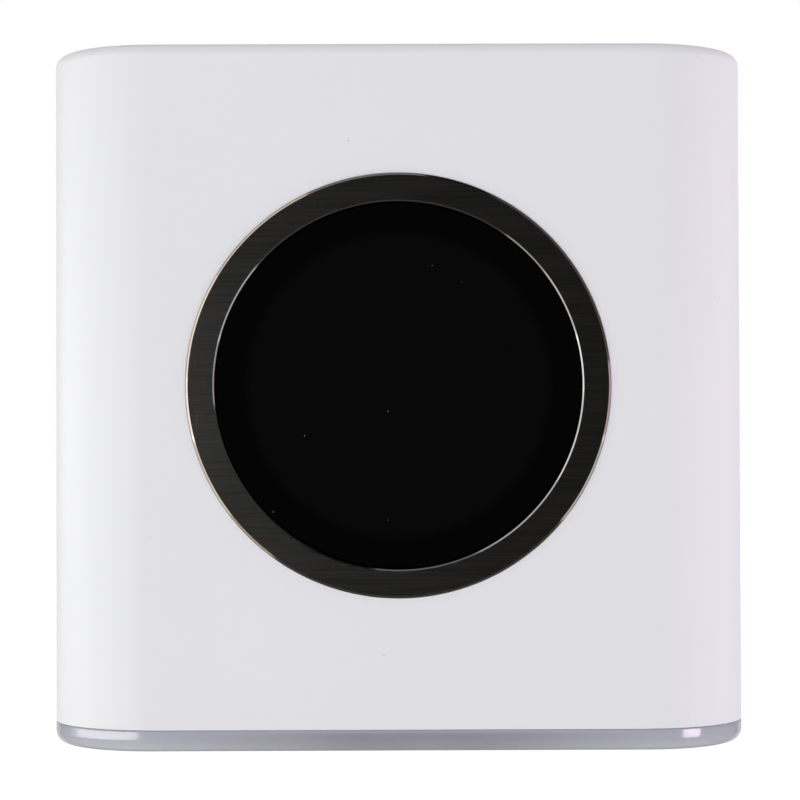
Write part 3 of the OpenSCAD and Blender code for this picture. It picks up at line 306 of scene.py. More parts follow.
# %% Shell
CORNER = 15.2 * MM
TOP_FILLET = 1.6 * MM
WALL = 2.4 * MM
INNER_FILLET = 0.4 * MM
EDGE = 0.2 * MM
SEAT_GAP, SEAT_EDGE = 0.05 * MM, 0.08 * MM
SEAT_DEPTH = 1.2 * MM
SPIGOT_HOLE_R = 27.65 * MM
BAY_R = 3 * MM
BAY_HALF, BAY_FOOT, BAY_HEAD = 31.3 * MM, 11.25 * MM, 45.9 * MM
CORNER_STEPS, FILLET_STEPS, SEAT_TURNS, BAY_STEPS, RIM_STEPS = 28, 8, 180, 10, 3

shell_low, shell_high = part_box("outer_shell")
ring_low, ring_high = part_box("bezel_ring")
display_centre = (ring_low + ring_high) / 2
front_y, rear_y = shell_low.y, shell_high.y
ring_r = (ring_high.z - ring_low.z) / 2


def rounded_block(low, high, corner, fillet, fillet_z):
    """A box with round upright corners and a fillet round its top or bottom edge."""
    bm = block(low, high)
    round_edges(bm, along(bm, 2), corner, CORNER_STEPS)
    round_edges(bm, at_level(bm.edges, 2, fillet_z), fillet, FILLET_STEPS)
    return closed(bm)


def sharp_edges(bm):
    """The edges between faces that meet at more than the crisp angle."""
    return [e for e in bm.edges if len(e.link_faces) == 2 and e.calc_face_angle(0) > CRISP]


outside = rounded_block(shell_low, shell_high, CORNER, TOP_FILLET, shell_high.z)
hollow = rounded_block(shell_low + Vector((WALL, WALL, -WALL)), shell_high - Vector((WALL, WALL, WALL)),
                       CORNER - WALL, INNER_FILLET, shell_high.z - WALL)
seat = turned([(0, -WALL), (ring_r + SEAT_GAP, -WALL), (ring_r + SEAT_GAP, SEAT_DEPTH),
               (SPIGOT_HOLE_R, SEAT_DEPTH), (SPIGOT_HOLE_R, 2 * WALL), (0, 2 * WALL)],
              (display_centre.x, front_y, display_centre.z), (0, 1, 0), SEAT_TURNS)
bay = block((-BAY_HALF, rear_y - 2 * WALL, BAY_FOOT), (BAY_HALF, rear_y + WALL, BAY_HEAD))
round_edges(bay, along(bay, 1), BAY_R, BAY_STEPS)
bm = cut(outside, hollow, seat, closed(bay))
round_edges(bm, at_level(sharp_edges(bm), 1, front_y), SEAT_EDGE, EDGE_STEPS)
rims = at_level(sharp_edges(bm), 1, rear_y)
rims += [e for e in at_level(sharp_edges(bm), 2, shell_low.z) if e not in rims]
round_edges(bm, rims, EDGE, RIM_STEPS)
shell = make_piece("shell", bm, satin_abs, "shell_white", "outer_shell")

# %% [markdown]
# ## Frosted polycarbonate
# The strip under the shell guides light, and is switched off here. It is clear polycarbonate with a milky
# filler, moulded in a polished tool: grey by daylight, with glossy reflections at its corners. Its colour
# also carries painted light: a painted highlight along its top edge, painted light from the floor along its
# foot, and its two ends painted lighter where the side lamps reach round the corners. The colour therefore
# follows the height and the distance from the middle.

# %% Frosted polycarbonate
base_low, base_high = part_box("light_base")
SEAM_Z = shell_low.z
# heights of the painted highlight under the seam and of the painted floor light at the foot
PAINTED_TOP_HIGHLIGHT, PAINTED_FOOT_LIGHT = 0.7 * MM, 0.45 * MM
MILK = 9 * MM
# the two ends are painted lighter from LIT_FROM to LIT_AT off the middle, as if lit round the corners
LIT_FROM, LIT_AT, LIT_MIDDLE = 8 * MM, 40 * MM, 2.5 * MM
RIPPLE = 0.01 * MM
SMEAR = {"To Min": 0.12, "To Max": 0.2}
PC_IOR = 1.6
CLOUDED = {"Subsurface Weight": 0.15, "Subsurface Scale": 0.5 * MM}

frosted, tree, shader, place = start_material("frosted_polycarbonate")
milk = add(tree, "TexNoise", {"Vector": place, "Scale": 1 / MILK, "Detail": 3.0})
grey = add(tree, "Mix", {"Factor": milk.outputs["Fac"], FIRST: colour("#99999f"),
                         SECOND: colour("#8e8d95")}, data_type="RGBA")
axes = add(tree, "SeparateXYZ", {"Vector": place})
# painted light at the ends: the grey turns lighter with the distance from the middle along X
aside = add(tree, "Math", {0: axes.outputs["X"], 1: LIT_MIDDLE}, operation="SUBTRACT")
across = add(tree, "Math", {0: aside.outputs["Value"]}, operation="ABSOLUTE")
outer = add(tree, "MapRange", {"Value": across.outputs["Value"], "From Min": LIT_FROM,
                               "From Max": LIT_AT})
painted_end_light = add(tree, "Mix", {"Factor": outer.outputs["Result"], FIRST: grey.outputs[MIXED],
                             SECOND: colour("#b5b7be")}, data_type="RGBA")
height = axes.outputs["Z"]
# painted highlight: a cool lighter grey along the top edge; painted floor light: a warm lighter grey along
# the foot
top_highlight_mask = add(tree, "MapRange", {"Value": height, "From Min": SEAM_Z - PAINTED_TOP_HIGHLIGHT, "From Max": SEAM_Z})
foot_light_mask = add(tree, "MapRange", {"Value": height, "From Min": base_low.z + PAINTED_FOOT_LIGHT,
                               "From Max": base_low.z})
cool = add(tree, "Mix", {"Factor": top_highlight_mask.outputs["Result"], FIRST: painted_end_light.outputs[MIXED],
                         SECOND: colour("#abaeb9")}, data_type="RGBA")
warm = add(tree, "Mix", {"Factor": foot_light_mask.outputs["Result"], FIRST: cool.outputs[MIXED],
                         SECOND: colour("#a8a2a2")}, data_type="RGBA")
smear = add(tree, "MapRange", {"Value": milk.outputs["Fac"], **SMEAR})
ripple = add(tree, "Bump", {"Height": milk.outputs["Fac"], "Distance": RIPPLE})
feed(tree, shader, {"Base Color": warm.outputs[MIXED], "Roughness": smear.outputs["Result"],
                    "Normal": ripple.outputs["Normal"], "IOR": PC_IOR, **CLOUDED})
print(frosted.name, "has", len(tree.nodes), "nodes")

# %% [markdown]
# ## Light base
# The base follows the shell's plan. An upstand locates it inside the shell, and a ledge inside carries the
# light strip above the bottom cover. Insets of its top and bottom faces draw these steps, extrusions raise
# them, and a bridge between the last two edge loops opens the middle.

# %% Light base
BASE_FILLET = 1.8 * MM
SEAM_ROUND, SEAM_STEPS = 0.22 * MM, 4
UPSTAND_FROM, UPSTAND_T = 2.55 * MM, 1.8 * MM
LEDGE_W = 4.6 * MM
COVER_TOP = 2.2 * MM


def inset(bm, face, width):
    """Draws a face in by a width and gives the band that this makes."""
    return bmesh.ops.inset_region(bm, faces=[face], thickness=width, use_even_offset=True)["faces"]


def raise_faces(bm, faces, height):
    """Extrudes faces straight up and gives the moved faces."""
    made = bmesh.ops.extrude_face_region(bm, geom=faces)["geom"]
    bmesh.ops.delete(bm, geom=faces, context="FACES")
    moved = [v for v in made if isinstance(v, bmesh.types.BMVert)]
    bmesh.ops.translate(bm, vec=(0, 0, height), verts=moved)
    return [f for f in made if isinstance(f, bmesh.types.BMFace)]


base_top = Vector((base_high.x, base_high.y, SEAM_Z))
bm = rounded_block(base_low, base_top, CORNER, BASE_FILLET, base_low.z)
round_edges(bm, at_level(bm.edges, 2, SEAM_Z), SEAM_ROUND, SEAM_STEPS)
closed(bm)
top, = at_level(bm.faces, 2, SEAM_Z)
foot, = at_level(bm.faces, 2, base_low.z)
inset(bm, top, UPSTAND_FROM)
upstand = inset(bm, top, UPSTAND_T)
inset(bm, top, LEDGE_W)
raise_faces(bm, upstand, base_high.z - SEAM_Z)
inset(bm, foot, UPSTAND_FROM + UPSTAND_T)
foot, = raise_faces(bm, [foot], COVER_TOP - base_low.z)
inset(bm, foot, LEDGE_W)
loops = [e for face in (top, foot) for e in face.edges]
bmesh.ops.delete(bm, geom=[top, foot], context="FACES_ONLY")
bmesh.ops.bridge_loops(bm, edges=loops)
base = make_piece("base", closed(bm), frosted, "base_frosted", "light_base")

# %% [markdown]
# ## Brushed black steel
# The bezel's face is blackened stainless steel, brushed in straight level lines before it was coated. It is
# a mirror with fine grooves: each groove spreads the light up and down, and the lines differ a little in
# tone. The noise is stretched along X. The real lines are about 0.05 mm wide and are drawn wider to show.
# The two chamfers were cut after brushing, so they are smooth and bright. The outer one keeps a straw tint
# of the coating, and the inner one is bare steel.

# %% Brushed black steel and its cut edges
LINE_W, LINE_L = 0.22 * MM, 14 * MM
SCRATCH_W, SCRATCH_L, SCRATCH_TILT = 0.25 * MM, 4 * MM, 0.3
GROOVE = 0.004 * MM
RARE = {"From Min": 0.82, "From Max": 0.90, "To Max": 0.4}
BRUSHED = {"To Min": 0.22, "To Max": 0.44}
NEAR_MIRROR = {"To Min": 0.07, "To Max": 0.13}

brushed, tree, shader, place = start_material("brushed_black_steel")
level = add(tree, "Mapping", {"Vector": place, "Scale": (1 / LINE_L, 1 / LINE_W, 1 / LINE_W)})
lines = add(tree, "TexNoise", {"Vector": level.outputs["Vector"], "Scale": 1.0, "Detail": 4.0})
steel = add(tree, "Mix", {"Factor": lines.outputs["Fac"], FIRST: colour("#565654"),
                          SECOND: colour("#969692")}, data_type="RGBA")
upright = add(tree, "Mapping", {"Vector": place, "Rotation": (0, SCRATCH_TILT, 0),
                                "Scale": (1 / SCRATCH_W, 1 / SCRATCH_W, 1 / SCRATCH_L)})
scratch = add(tree, "TexNoise", {"Vector": upright.outputs["Vector"], "Scale": 1.0, "Detail": 0.0})
few = add(tree, "MapRange", {"Value": scratch.outputs["Fac"], **RARE})
worn = add(tree, "Mix", {"Factor": few.outputs["Result"], FIRST: steel.outputs[MIXED],
                         SECOND: colour("#b9b6b0")}, data_type="RGBA")
dull = add(tree, "MapRange", {"Value": lines.outputs["Fac"], **BRUSHED})
grooves = add(tree, "Bump", {"Height": lines.outputs["Fac"], "Distance": GROOVE})
feed(tree, shader, {"Base Color": worn.outputs[MIXED], "Roughness": dull.outputs["Result"],
                    "Normal": grooves.outputs["Normal"], "Metallic": 1.0})


def cut_steel(name, light, dark):
    """The bare steel of a chamfer: nearly a mirror, with faint marks of the tool."""
    material, tree, shader, place = start_material(name)
    turning = add(tree, "TexNoise", {"Vector": place, "Scale": 1 / LINE_W, "Detail": 2.0})
    tone = add(tree, "Mix", {"Factor": turning.outputs["Fac"], FIRST: colour(light), SECOND: colour(dark)},
               data_type="RGBA")
    fine = add(tree, "MapRange", {"Value": turning.outputs["Fac"], **NEAR_MIRROR})
    feed(tree, shader, {"Base Color": tone.outputs[MIXED], "Roughness": fine.outputs["Result"],
                        "Metallic": 1.0})
    return material


outer_cut = cut_steel("cut_steel_straw", "#80776e", "#786f68")
inner_cut = cut_steel("cut_steel_bright", "#707072", "#69696b")
print(brushed.name, "with", outer_cut.name, "and", inner_cut.name)

# %% [markdown]
# ## Bezel
# The bezel is a turned ring: a flat face, a chamfer on each edge, and a spigot that goes through the wall.
# Its half section is spun in 240 steps, enough for a smooth edge at this size. The inner chamfer leans by 45
# degrees. The outer one is a little flatter, so that it mirrors the studio and not the table. The leaning
# faces get the two finishes of the cut steel.

# %% Bezel
BEZEL_IN = 25.75 * MM
CHAMFER_OUT, CHAMFER_IN = 0.27 * MM, 0.2 * MM
LEAN = 0.87  # depth of the outer chamfer over its width
LEAST_TURN, MOST_TURN = 0.5, 0.9  # how far a chamfer's normal points to the front
FLANGE_T = 1.4 * MM
SPIGOT_R = 27.5 * MM
TURNS = 240
bezel_depth = ring_high.y - ring_low.y
profile = [(BEZEL_IN + CHAMFER_IN, 0), (ring_r - CHAMFER_OUT, 0), (ring_r, LEAN * CHAMFER_OUT),
           (ring_r, FLANGE_T), (SPIGOT_R, FLANGE_T), (SPIGOT_R, bezel_depth), (BEZEL_IN, bezel_depth),
           (BEZEL_IN, CHAMFER_IN), (BEZEL_IN + CHAMFER_IN, 0)]
bm = turned(profile, (display_centre.x, ring_low.y, display_centre.z), (0, 1, 0), TURNS)
leaning = [face for face in bm.faces if LEAST_TURN < -face.normal.y < MOST_TURN]
for face in leaning:
    off = face.calc_center_median() - display_centre
    face.material_index = 1 if math.hypot(off.x, off.z) > SPIGOT_R else 2
print(len(leaning), "faces are chamfers")
bezel = make_piece("bezel", bm, brushed, "bezel_metal", "bezel_ring")
bezel.data.materials.append(outer_cut)
bezel.data.materials.append(inner_cut)

# %% [markdown]
# ## Black cover glass
# The display's glass is polished soda-lime glass, printed black behind round its edge. Under it the panel is
# switched off and looks a shade lighter than the print. The glass itself only shows as reflections and as
# the dust that lies on it, so the shader is nearly black, very smooth, and has a few pale specks.

# %% Black cover glass
VIEW_R, VIEW_BLUR = 21.2 * MM, 0.6 * MM
DUST_APART, DUST_R, DUST_TONE = 4.5 * MM, 0.13 * MM, 0.6
WIPED = {"To Min": 0.03, "To Max": 0.08}
GLASS_IOR = 1.52

black_glass, tree, shader, place = start_material("black_cover_glass")
from_middle = add(tree, "VectorMath", {0: place, 1: display_centre}, operation="SUBTRACT")
flat = add(tree, "VectorMath", {0: from_middle.outputs["Vector"], 1: (1, 0, 1)}, operation="MULTIPLY")
radius = add(tree, "VectorMath", {0: flat.outputs["Vector"]}, operation="LENGTH")
inside = add(tree, "MapRange", {"Value": radius.outputs["Value"], "From Min": VIEW_R + VIEW_BLUR,
                                "From Max": VIEW_R - VIEW_BLUR})
black = add(tree, "Mix", {"Factor": inside.outputs["Result"], FIRST: colour("#020202"),
                          SECOND: colour("#060606")}, data_type="RGBA")
dust = add(tree, "TexVoronoi", {"Vector": place, "Scale": 1 / DUST_APART})
speck = add(tree, "MapRange", {"Value": dust.outputs["Distance"], "From Min": DUST_R / DUST_APART,
                               "From Max": SPECK_CORE * DUST_R / DUST_APART, "To Max": DUST_TONE})
dusty = add(tree, "Mix", {"Factor": speck.outputs["Result"], FIRST: black.outputs[MIXED],
                          SECOND: colour("#7d8080")}, data_type="RGBA")
film = add(tree, "TexNoise", {"Vector": place, "Scale": 1 / FLOW, "Detail": 2.0})
wiped = add(tree, "MapRange", {"Value": film.outputs["Fac"], **WIPED})
feed(tree, shader, {"Base Color": dusty.outputs[MIXED], "Roughness": wiped.outputs["Result"],
                    "IOR": GLASS_IOR})
print(black_glass.name, "has", len(tree.nodes), "nodes")

# %% [markdown]
# ## Cover glass
# The glass is a disc with a ground edge. A small chamfer round its front keeps the edge from chipping, and
# shows as a fine line inside the bezel. It is turned like the bezel.

# %% Cover glass
GLASS_EDGE = 0.2 * MM
glass_low, glass_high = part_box("display_glass")
glass_r = (glass_high.z - glass_low.z) / 2
glass_t = glass_high.y - glass_low.y
bm = turned([(0, 0), (glass_r - GLASS_EDGE, 0), (glass_r, GLASS_EDGE), (glass_r, glass_t), (0, glass_t)],
            (display_centre.x, glass_low.y, display_centre.z), (0, 1, 0), TURNS)
make_piece("glass", bm, black_glass, "display_black", "display_glass")

# %% [markdown]
# ## Other moulded polymers
# The rest of the plastics, the rubber and the foam differ in colour, gloss and grain, but they are made in
# the same way: pressed or moulded into a tool whose surface they copy. One function therefore builds them
# all, with two shades for the slow variation, a roughness, and a grain size that also gives the relief.

# %% Moulded polymers
SLOW = 10 * MM
GLOSS_SPREAD, GRAIN_RELIEF = 0.12, 0.02  # in roughness, and in grain sizes


def moulded(name, light, dark, rough, grain):
    """A moulded polymer: slow shading, and the grain of its tool in gloss and relief."""
    material, tree, shader, place = start_material(name)
    flow = add(tree, "TexNoise", {"Vector": place, "Scale": 1 / SLOW, "Detail": 4.0})
    tint = add(tree, "Mix", {"Factor": flow.outputs["Fac"], FIRST: colour(light), SECOND: colour(dark)},
               data_type="RGBA")
    pits = add(tree, "TexNoise", {"Vector": place, "Scale": 1 / grain, "Detail": 3.0})
    gloss = add(tree, "MapRange", {"Value": pits.outputs["Fac"], "To Min": rough - GLOSS_SPREAD,
                                   "To Max": rough + GLOSS_SPREAD})
    relief = add(tree, "Bump", {"Height": pits.outputs["Fac"], "Distance": GRAIN_RELIEF * grain})
    feed(tree, shader, {"Base Color": tint.outputs[MIXED], "Roughness": gloss.outputs["Result"],
                        "Normal": relief.outputs["Normal"]})
    return material


finishes = {
    # satin ABS, tinted a shade darker than the shell, so covers read as separate mouldings
    "cover_grey": moulded("satin_abs_pale_grey", "#d9d9db", "#cfcfd3", 0.50, 0.3 * MM),
    # silicone rubber, moulded matt: dark, no highlight
    "foot_rubber": moulded("silicone_rubber", "#3a3a3d", "#2c2c2f", 0.75, 0.25 * MM),
    # closed-cell foam tape: black, with open pores
    "tape_black": moulded("adhesive_foam", "#1a1a1a", "#101010", 0.85, 0.15 * MM),
    # a liquid-crystal panel that is switched off: dark and even
    "lcd_dark": moulded("switched_off_panel", "#15161a", "#101114", 0.20, 0.2 * MM),
    # glass-filled polycarbonate ABS: charcoal, with faint fibre marks
    "frame_plastic": moulded("glass_filled_polycarbonate", "#3a3b3f", "#2e2f33", 0.55, 0.5 * MM),
    # moulded epoxy: the flat black of chip packages
    "chip_black": moulded("moulded_epoxy", "#222223", "#191919", 0.60, 0.12 * MM),
    # filled silicone: the soft blue-grey of thermal pads
    "pad_grey": moulded("filled_silicone", "#a7aebb", "#959eae", 0.80, 0.3 * MM),
    # sintered ferrite: dark grey and slightly grainy
    "ferrite_grey": moulded("sintered_ferrite", "#4a4a4d", "#3c3c40", 0.65, 0.2 * MM),
    # glass-filled polyester: the black of most sockets, half matt
    "socket_black": moulded("polyester_black", "#1d1d1f", "#141416", 0.45, 0.2 * MM),
    # the same polyester in blue, which marks the incoming line
    "socket_blue": moulded("polyester_blue", "#3f6699", "#35588a", 0.45, 0.2 * MM),
    # ABS for the button: mid grey, worn a little smooth
    "button_grey": moulded("smooth_abs_grey", "#bfbfc2", "#b0b0b4", 0.38, 0.25 * MM),
    # epoxy lens over an unlit emitter: pale, glossy
    "led_lens": moulded("epoxy_lens", "#e6e2cf", "#d9d4bb", 0.22, 0.3 * MM),
    # nylon plug bodies: cream, waxy
    "plug_cream": moulded("nylon_cream", "#e3dcc6", "#d8d0b8", 0.48, 0.3 * MM),
    # pressed paper cone and painted basket: black, fibrous
    "speaker_black": moulded("pressed_paper_black", "#262626", "#1b1b1b", 0.75, 0.35 * MM),
    # soft vinyl insulation
    "lead_red": moulded("vinyl_red", "#a8312b", "#962822", 0.45, 0.3 * MM),
    "lead_grey": moulded("vinyl_grey", "#bcbcbc", "#acacac", 0.45, 0.3 * MM),
}
print(len(finishes), "moulded finishes")

# %% [markdown]
# ## Metals
# Small metal parts are rolled, drawn or plated. Rolling and drawing leave faint lines along the sheet, so
# the noise is stretched along Z, and plating changes the colour. A metal keeps the default IOR, because its
# base colour already says how much it reflects.

# %% Metals
DRAWN_OUT = 0.05  # a line is twenty times as long as it is wide
METAL_SPREAD, LINE_RELIEF = 0.1, 0.01  # in roughness, and in line widths


def drawn_metal(name, light, dark, rough, line):
    """A plated or drawn metal with faint lines of a given width."""
    material, tree, shader, place = start_material(name)
    drawn = add(tree, "Mapping", {"Vector": place, "Scale": (1 / line, 1 / line, DRAWN_OUT / line)})
    lines = add(tree, "TexNoise", {"Vector": drawn.outputs["Vector"], "Scale": 1.0, "Detail": 3.0})
    tone = add(tree, "Mix", {"Factor": lines.outputs["Fac"], FIRST: colour(light), SECOND: colour(dark)},
               data_type="RGBA")
    gloss = add(tree, "MapRange", {"Value": lines.outputs["Fac"], "To Min": rough - METAL_SPREAD,
                                   "To Max": rough + METAL_SPREAD})
    relief = add(tree, "Bump", {"Height": lines.outputs["Fac"], "Distance": LINE_RELIEF * line})
    feed(tree, shader, {"Base Color": tone.outputs[MIXED], "Roughness": gloss.outputs["Result"],
                        "Normal": relief.outputs["Normal"], "Metallic": 1.0})
    return material


finishes.update({
    # zinc-plated steel: cool grey, half bright
    "screw_steel": drawn_metal("zinc_plated_steel", "#c3c5c9", "#aeb0b5", 0.32, 0.2 * MM),
    # extruded aluminium: pale, with die lines
    "sink_aluminium": drawn_metal("extruded_aluminium", "#d6d7d9", "#c2c4c7", 0.38, 0.3 * MM),
    # tin-plated sheet: soft white shine
    "tin_sheet": drawn_metal("tin_plated_sheet", "#d2d1cd", "#bfbebb", 0.28, 0.25 * MM),
    # deep-drawn aluminium: bright cans
    "can_aluminium": drawn_metal("drawn_aluminium", "#dadbdc", "#cbccce", 0.25, 0.3 * MM),
    # gold flash on bronze: warm yellow contacts
    "contact_gold": drawn_metal("gold_flash", "#e6c27a", "#d4aa5c", 0.25, 0.2 * MM),
})
print(len(finishes), "finishes so far")

# %% [markdown]
# ## Boards and printed films
# A circuit board is glass fibre under a green solder mask, and the copper under the mask shows as lighter
# tracks and pours. Square Voronoi cells stand for the pours. A flat cable is film with parallel copper
# strips, so a Wave texture draws its stripes at the strips' real pitch.

# %% Boards and printed films
POUR, COPPER_T, MASK_SPREAD = 2.5 * MM, 0.03 * MM, 0.08
PITCH, STRIP_T, FILM_SPREAD = 1.0 * MM, 0.02 * MM, 0.1
WAVES = 20  # a Wave texture has this many radians for each unit of its scale


def board(name, mask, copper, rough):
    """A solder mask over copper pours."""
    material, tree, shader, place = start_material(name)
    pours = add(tree, "TexVoronoi", {"Vector": place, "Scale": 1 / POUR}, distance="CHEBYCHEV")
    chance = add(tree, "SeparateColor", {"Color": pours.outputs["Color"]}).outputs["Red"]
    tone = add(tree, "Mix", {"Factor": chance, FIRST: colour(mask), SECOND: colour(copper)},
               data_type="RGBA")
    gloss = add(tree, "MapRange", {"Value": chance, "To Min": rough - MASK_SPREAD,
                                   "To Max": rough + MASK_SPREAD})
    step = add(tree, "Bump", {"Height": chance, "Distance": COPPER_T})
    feed(tree, shader, {"Base Color": tone.outputs[MIXED], "Roughness": gloss.outputs["Result"],
                        "Normal": step.outputs["Normal"]})
    return material


def printed_film(name, film, strip, rough):
    """A film with parallel conductor strips across X."""
    material, tree, shader, place = start_material(name)
    strips = add(tree, "TexWave", {"Vector": place, "Scale": math.tau / (WAVES * PITCH)})
    tone = add(tree, "Mix", {"Factor": strips.outputs["Fac"], FIRST: colour(film), SECOND: colour(strip)},
               data_type="RGBA")
    gloss = add(tree, "MapRange", {"Value": strips.outputs["Fac"], "To Min": rough,
                                   "To Max": rough + FILM_SPREAD})
    step = add(tree, "Bump", {"Height": strips.outputs["Fac"], "Distance": STRIP_T})
    feed(tree, shader, {"Base Color": tone.outputs[MIXED], "Roughness": gloss.outputs["Result"],
                        "Normal": step.outputs["Normal"]})
    return material


finishes.update({
    # green solder mask: satin, with lighter pours of copper
    "board_green": board("green_solder_mask", "#10502f", "#1b6a42", 0.35),
    # white solder mask, which throws the emitters' light outwards
    "strip_white": board("white_solder_mask", "#e9e8e2", "#dddcd4", 0.40),
    # polyimide film: clear amber over copper
    "flex_amber": printed_film("polyimide_film", "#a8641c", "#c98a3c", 0.25),
    # polyester film: white, with tinned strips
    "ribbon_white": printed_film("polyester_film", "#e8e8e4", "#c9cacb", 0.30),
    "shell_white": satin_abs,
    "base_frosted": frosted,
    "bezel_metal": brushed,
    "display_black": black_glass,
})
print(len(finishes), "finishes")

# %% [markdown]
# ## Finishes for the CAD nodes
# Every CAD node takes the finish of its slot in the record. The material is put in the object's own slot,
# so the node's mesh stays as it was packed.

# %% Finishes for the CAD nodes
slot_of = {part["node"]: part["material_slot"] for part in frame["record"]["subparts"]}
for name, node in frame["nodes"].items():
    node.material_slots[0].link = "OBJECT"
    node.material_slots[0].material = finishes[slot_of[name]]
print(len(slot_of), "CAD nodes have a finish")

# %% [markdown]
# ## Feet
# Each foot is a moulded rubber disc with a soft rim and a shallow dish, so that it stands on a ring and
# grips. The half section is turned, once for each corner.

# %% Feet
SMALL_TURNS = 64
FOOT_R = 5 * MM
RIM, LIP, DISH = 0.35 * MM, 0.1 * MM, 0.12 * MM
DISH_IN, TREAD_IN, TREAD_OUT = 1.6 * MM, 1.3 * MM, 0.4 * MM
feet_low, feet_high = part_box("rubber_feet")
foot_t = feet_high.z - feet_low.z
foot_x, foot_y = feet_high.x - FOOT_R, feet_high.y - FOOT_R
profile = [(0, DISH), (FOOT_R - DISH_IN, DISH), (FOOT_R - TREAD_IN, 0), (FOOT_R - TREAD_OUT, 0),
           (FOOT_R - LIP, LIP), (FOOT_R, RIM), (FOOT_R, foot_t), (0, foot_t)]
discs = [turned(profile, (x, y, feet_low.z), (0, 0, 1), SMALL_TURNS)
         for x in (-foot_x, foot_x) for y in (-foot_y, foot_y)]
make_piece("feet", joined(discs), finishes["foot_rubber"], "foot_rubber", "rubber_feet")

# %% [markdown]
# ## Port panel, bottom cover and serial sockets
# The panel fills the bay at the rear and frames the sockets, and the cover closes the base. Their CAD shapes
# are already right and only the edges are too sharp for mouldings, so a copy is merged, its triangles are put
# back into flat faces, and a Bevel modifier rounds the edges. The sheet-metal shells of the two serial
# sockets and their tongues are made in the same way.

# %% Port panel, bottom cover and serial sockets
FLAT = math.radians(0.5)
CAD_DOUBLES = 1e-6
PANEL_EDGE, SHEET_EDGE = 0.15 * MM, 0.07 * MM


def copied(node):
    """A merged copy of a CAD node's mesh, with its triangles put back into flat faces."""
    bm = bmesh.new()
    bm.from_mesh(frame["nodes"][node].data)
    bmesh.ops.remove_doubles(bm, verts=bm.verts, dist=CAD_DOUBLES)
    bmesh.ops.dissolve_limit(bm, angle_limit=FLAT, verts=bm.verts, edges=bm.edges)
    return bm


for name, node, edge in (("panel", "port_panel", PANEL_EDGE),
                         ("bottom_cover", "bottom_plate", PANEL_EDGE),
                         ("serial_shell", "usb_shell", SHEET_EDGE),
                         ("serial_tongue", "usb_insulator", SHEET_EDGE),
                         ("power_inlet_shell", "power_shell", SHEET_EDGE),
                         ("power_inlet_tongue", "power_insulator", SHEET_EDGE)):
    make_piece(name, copied(node), finishes[slot_of[node]], slot_of[node], node, edge=edge)

# %% [markdown]
# ## Network sockets
# The four sockets for the local network share one block, and the incoming line has its own. Each socket has
# two small windows for its link lights in the free margin next to the contacts. The windows are pockets cut
# into the block, and a lens with round corners sits in each, a little proud.

# %% Network sockets and link lights
LENS_W, LENS_H = 2.2 * MM, 1.1 * MM
LENS_CORNER, LENS_RIM, LENS_STEPS = 0.25 * MM, 0.08 * MM, 4
LENS_PROUD = 0.1 * MM
POCKET = 0.6 * MM
POCKET_GAP = 0.06 * MM
LIGHT_APART = 4.4 * MM
LIGHT_IN = 1.2 * MM
SOCKET_EDGE = 0.12 * MM
LAN_PORTS, BLOCK_ENDS = 4, 1 * MM


def pill(x, z, low_y, high_y, grow):
    """A small block with round corners, seen from the rear, for a pocket or a lens."""
    half = Vector((LENS_W / 2 + grow, 0, LENS_H / 2 + grow))
    bm = block(Vector((x, low_y, z)) - half, Vector((x, high_y, z)) + half)
    round_edges(bm, along(bm, 1), LENS_CORNER, LENS_STEPS)
    return closed(bm)


lan_low, lan_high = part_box("lan_jack")
wan_low, wan_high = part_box("wan_jack")
pitch = (lan_high.x - lan_low.x - BLOCK_ENDS) / LAN_PORTS
lan_xs = [(i - (LAN_PORTS - 1) / 2) * pitch for i in range(LAN_PORTS)]
wan_x = (wan_low.x + wan_high.x) / 2
lights = {"lan": [(x + side * LIGHT_APART, lan_high.z - LIGHT_IN) for x in lan_xs for side in (-1, 1)],
          "wan": [(wan_x + side * LIGHT_APART, wan_low.z + LIGHT_IN) for side in (-1, 1)]}
face_y = lan_high.y
for line, places in lights.items():
    node = line + "_jack"
    pockets = [pill(x, z, face_y - POCKET, face_y + POCKET, POCKET_GAP) for x, z in places]
    make_piece(line + "_socket", cut(copied(node), joined(pockets)), finishes[slot_of[node]], slot_of[node],
               node, edge=SOCKET_EDGE)
    lenses = [pill(x, z, face_y - POCKET, face_y + LENS_PROUD, 0) for x, z in places]
    make_piece(line + "_link_lights", joined(lenses), finishes["led_lens"], "led_lens", edge=LENS_RIM)

# %% [markdown]
# ## Reset button
# The button is a turned pin with a dished head, so that a fingertip or a pen finds its middle, and a collar
# that keeps it behind the panel. It is the one piece that moves, and rides the body of the reset switch.

# %% Reset button
BUTTON_R, COLLAR_R, STEM_R = 1.7 * MM, 2.6 * MM, 1.2 * MM
COLLAR_FROM, COLLAR_T = 2.05 * MM, 0.6 * MM
HEAD_DISH, HEAD_RIM = 0.15 * MM, 0.2 * MM
HEAD_SOFT = 0.3 * HEAD_RIM
DISH_MID, DISH_EDGE, DISH_RISE = 0.5 * BUTTON_R, 0.8 * BUTTON_R, 0.7 * HEAD_DISH
button_low, button_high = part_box("reset_button")
button_centre = (button_low + button_high) / 2
button_l = button_high.y - button_low.y
collar_end = COLLAR_FROM + COLLAR_T
profile = [(0, HEAD_DISH), (DISH_MID, DISH_RISE), (DISH_EDGE, 0), (BUTTON_R - HEAD_SOFT, HEAD_SOFT),
           (BUTTON_R, HEAD_RIM), (BUTTON_R, COLLAR_FROM), (COLLAR_R, COLLAR_FROM), (COLLAR_R, collar_end),
           (STEM_R, collar_end), (STEM_R, button_l), (0, button_l)]
bm = turned(profile, (button_centre.x, button_high.y, button_centre.z), (0, -1, 0), SMALL_TURNS)
make_piece("button", bm, finishes["button_grey"], "button_grey", "reset_button", body="reset")

# %% [markdown]
# ## Floor and surroundings
# The hub stands on a white sweep that is lit until it is as bright as the paper behind it. The sweep glows
# a little itself, so that it stays white far away and keeps only a faint shadow under the hub. The room
# behind the camera is dark, and that is why the display and the bezel look black: the world is white for
# the camera, soft for diffuse light and nearly black in reflections.

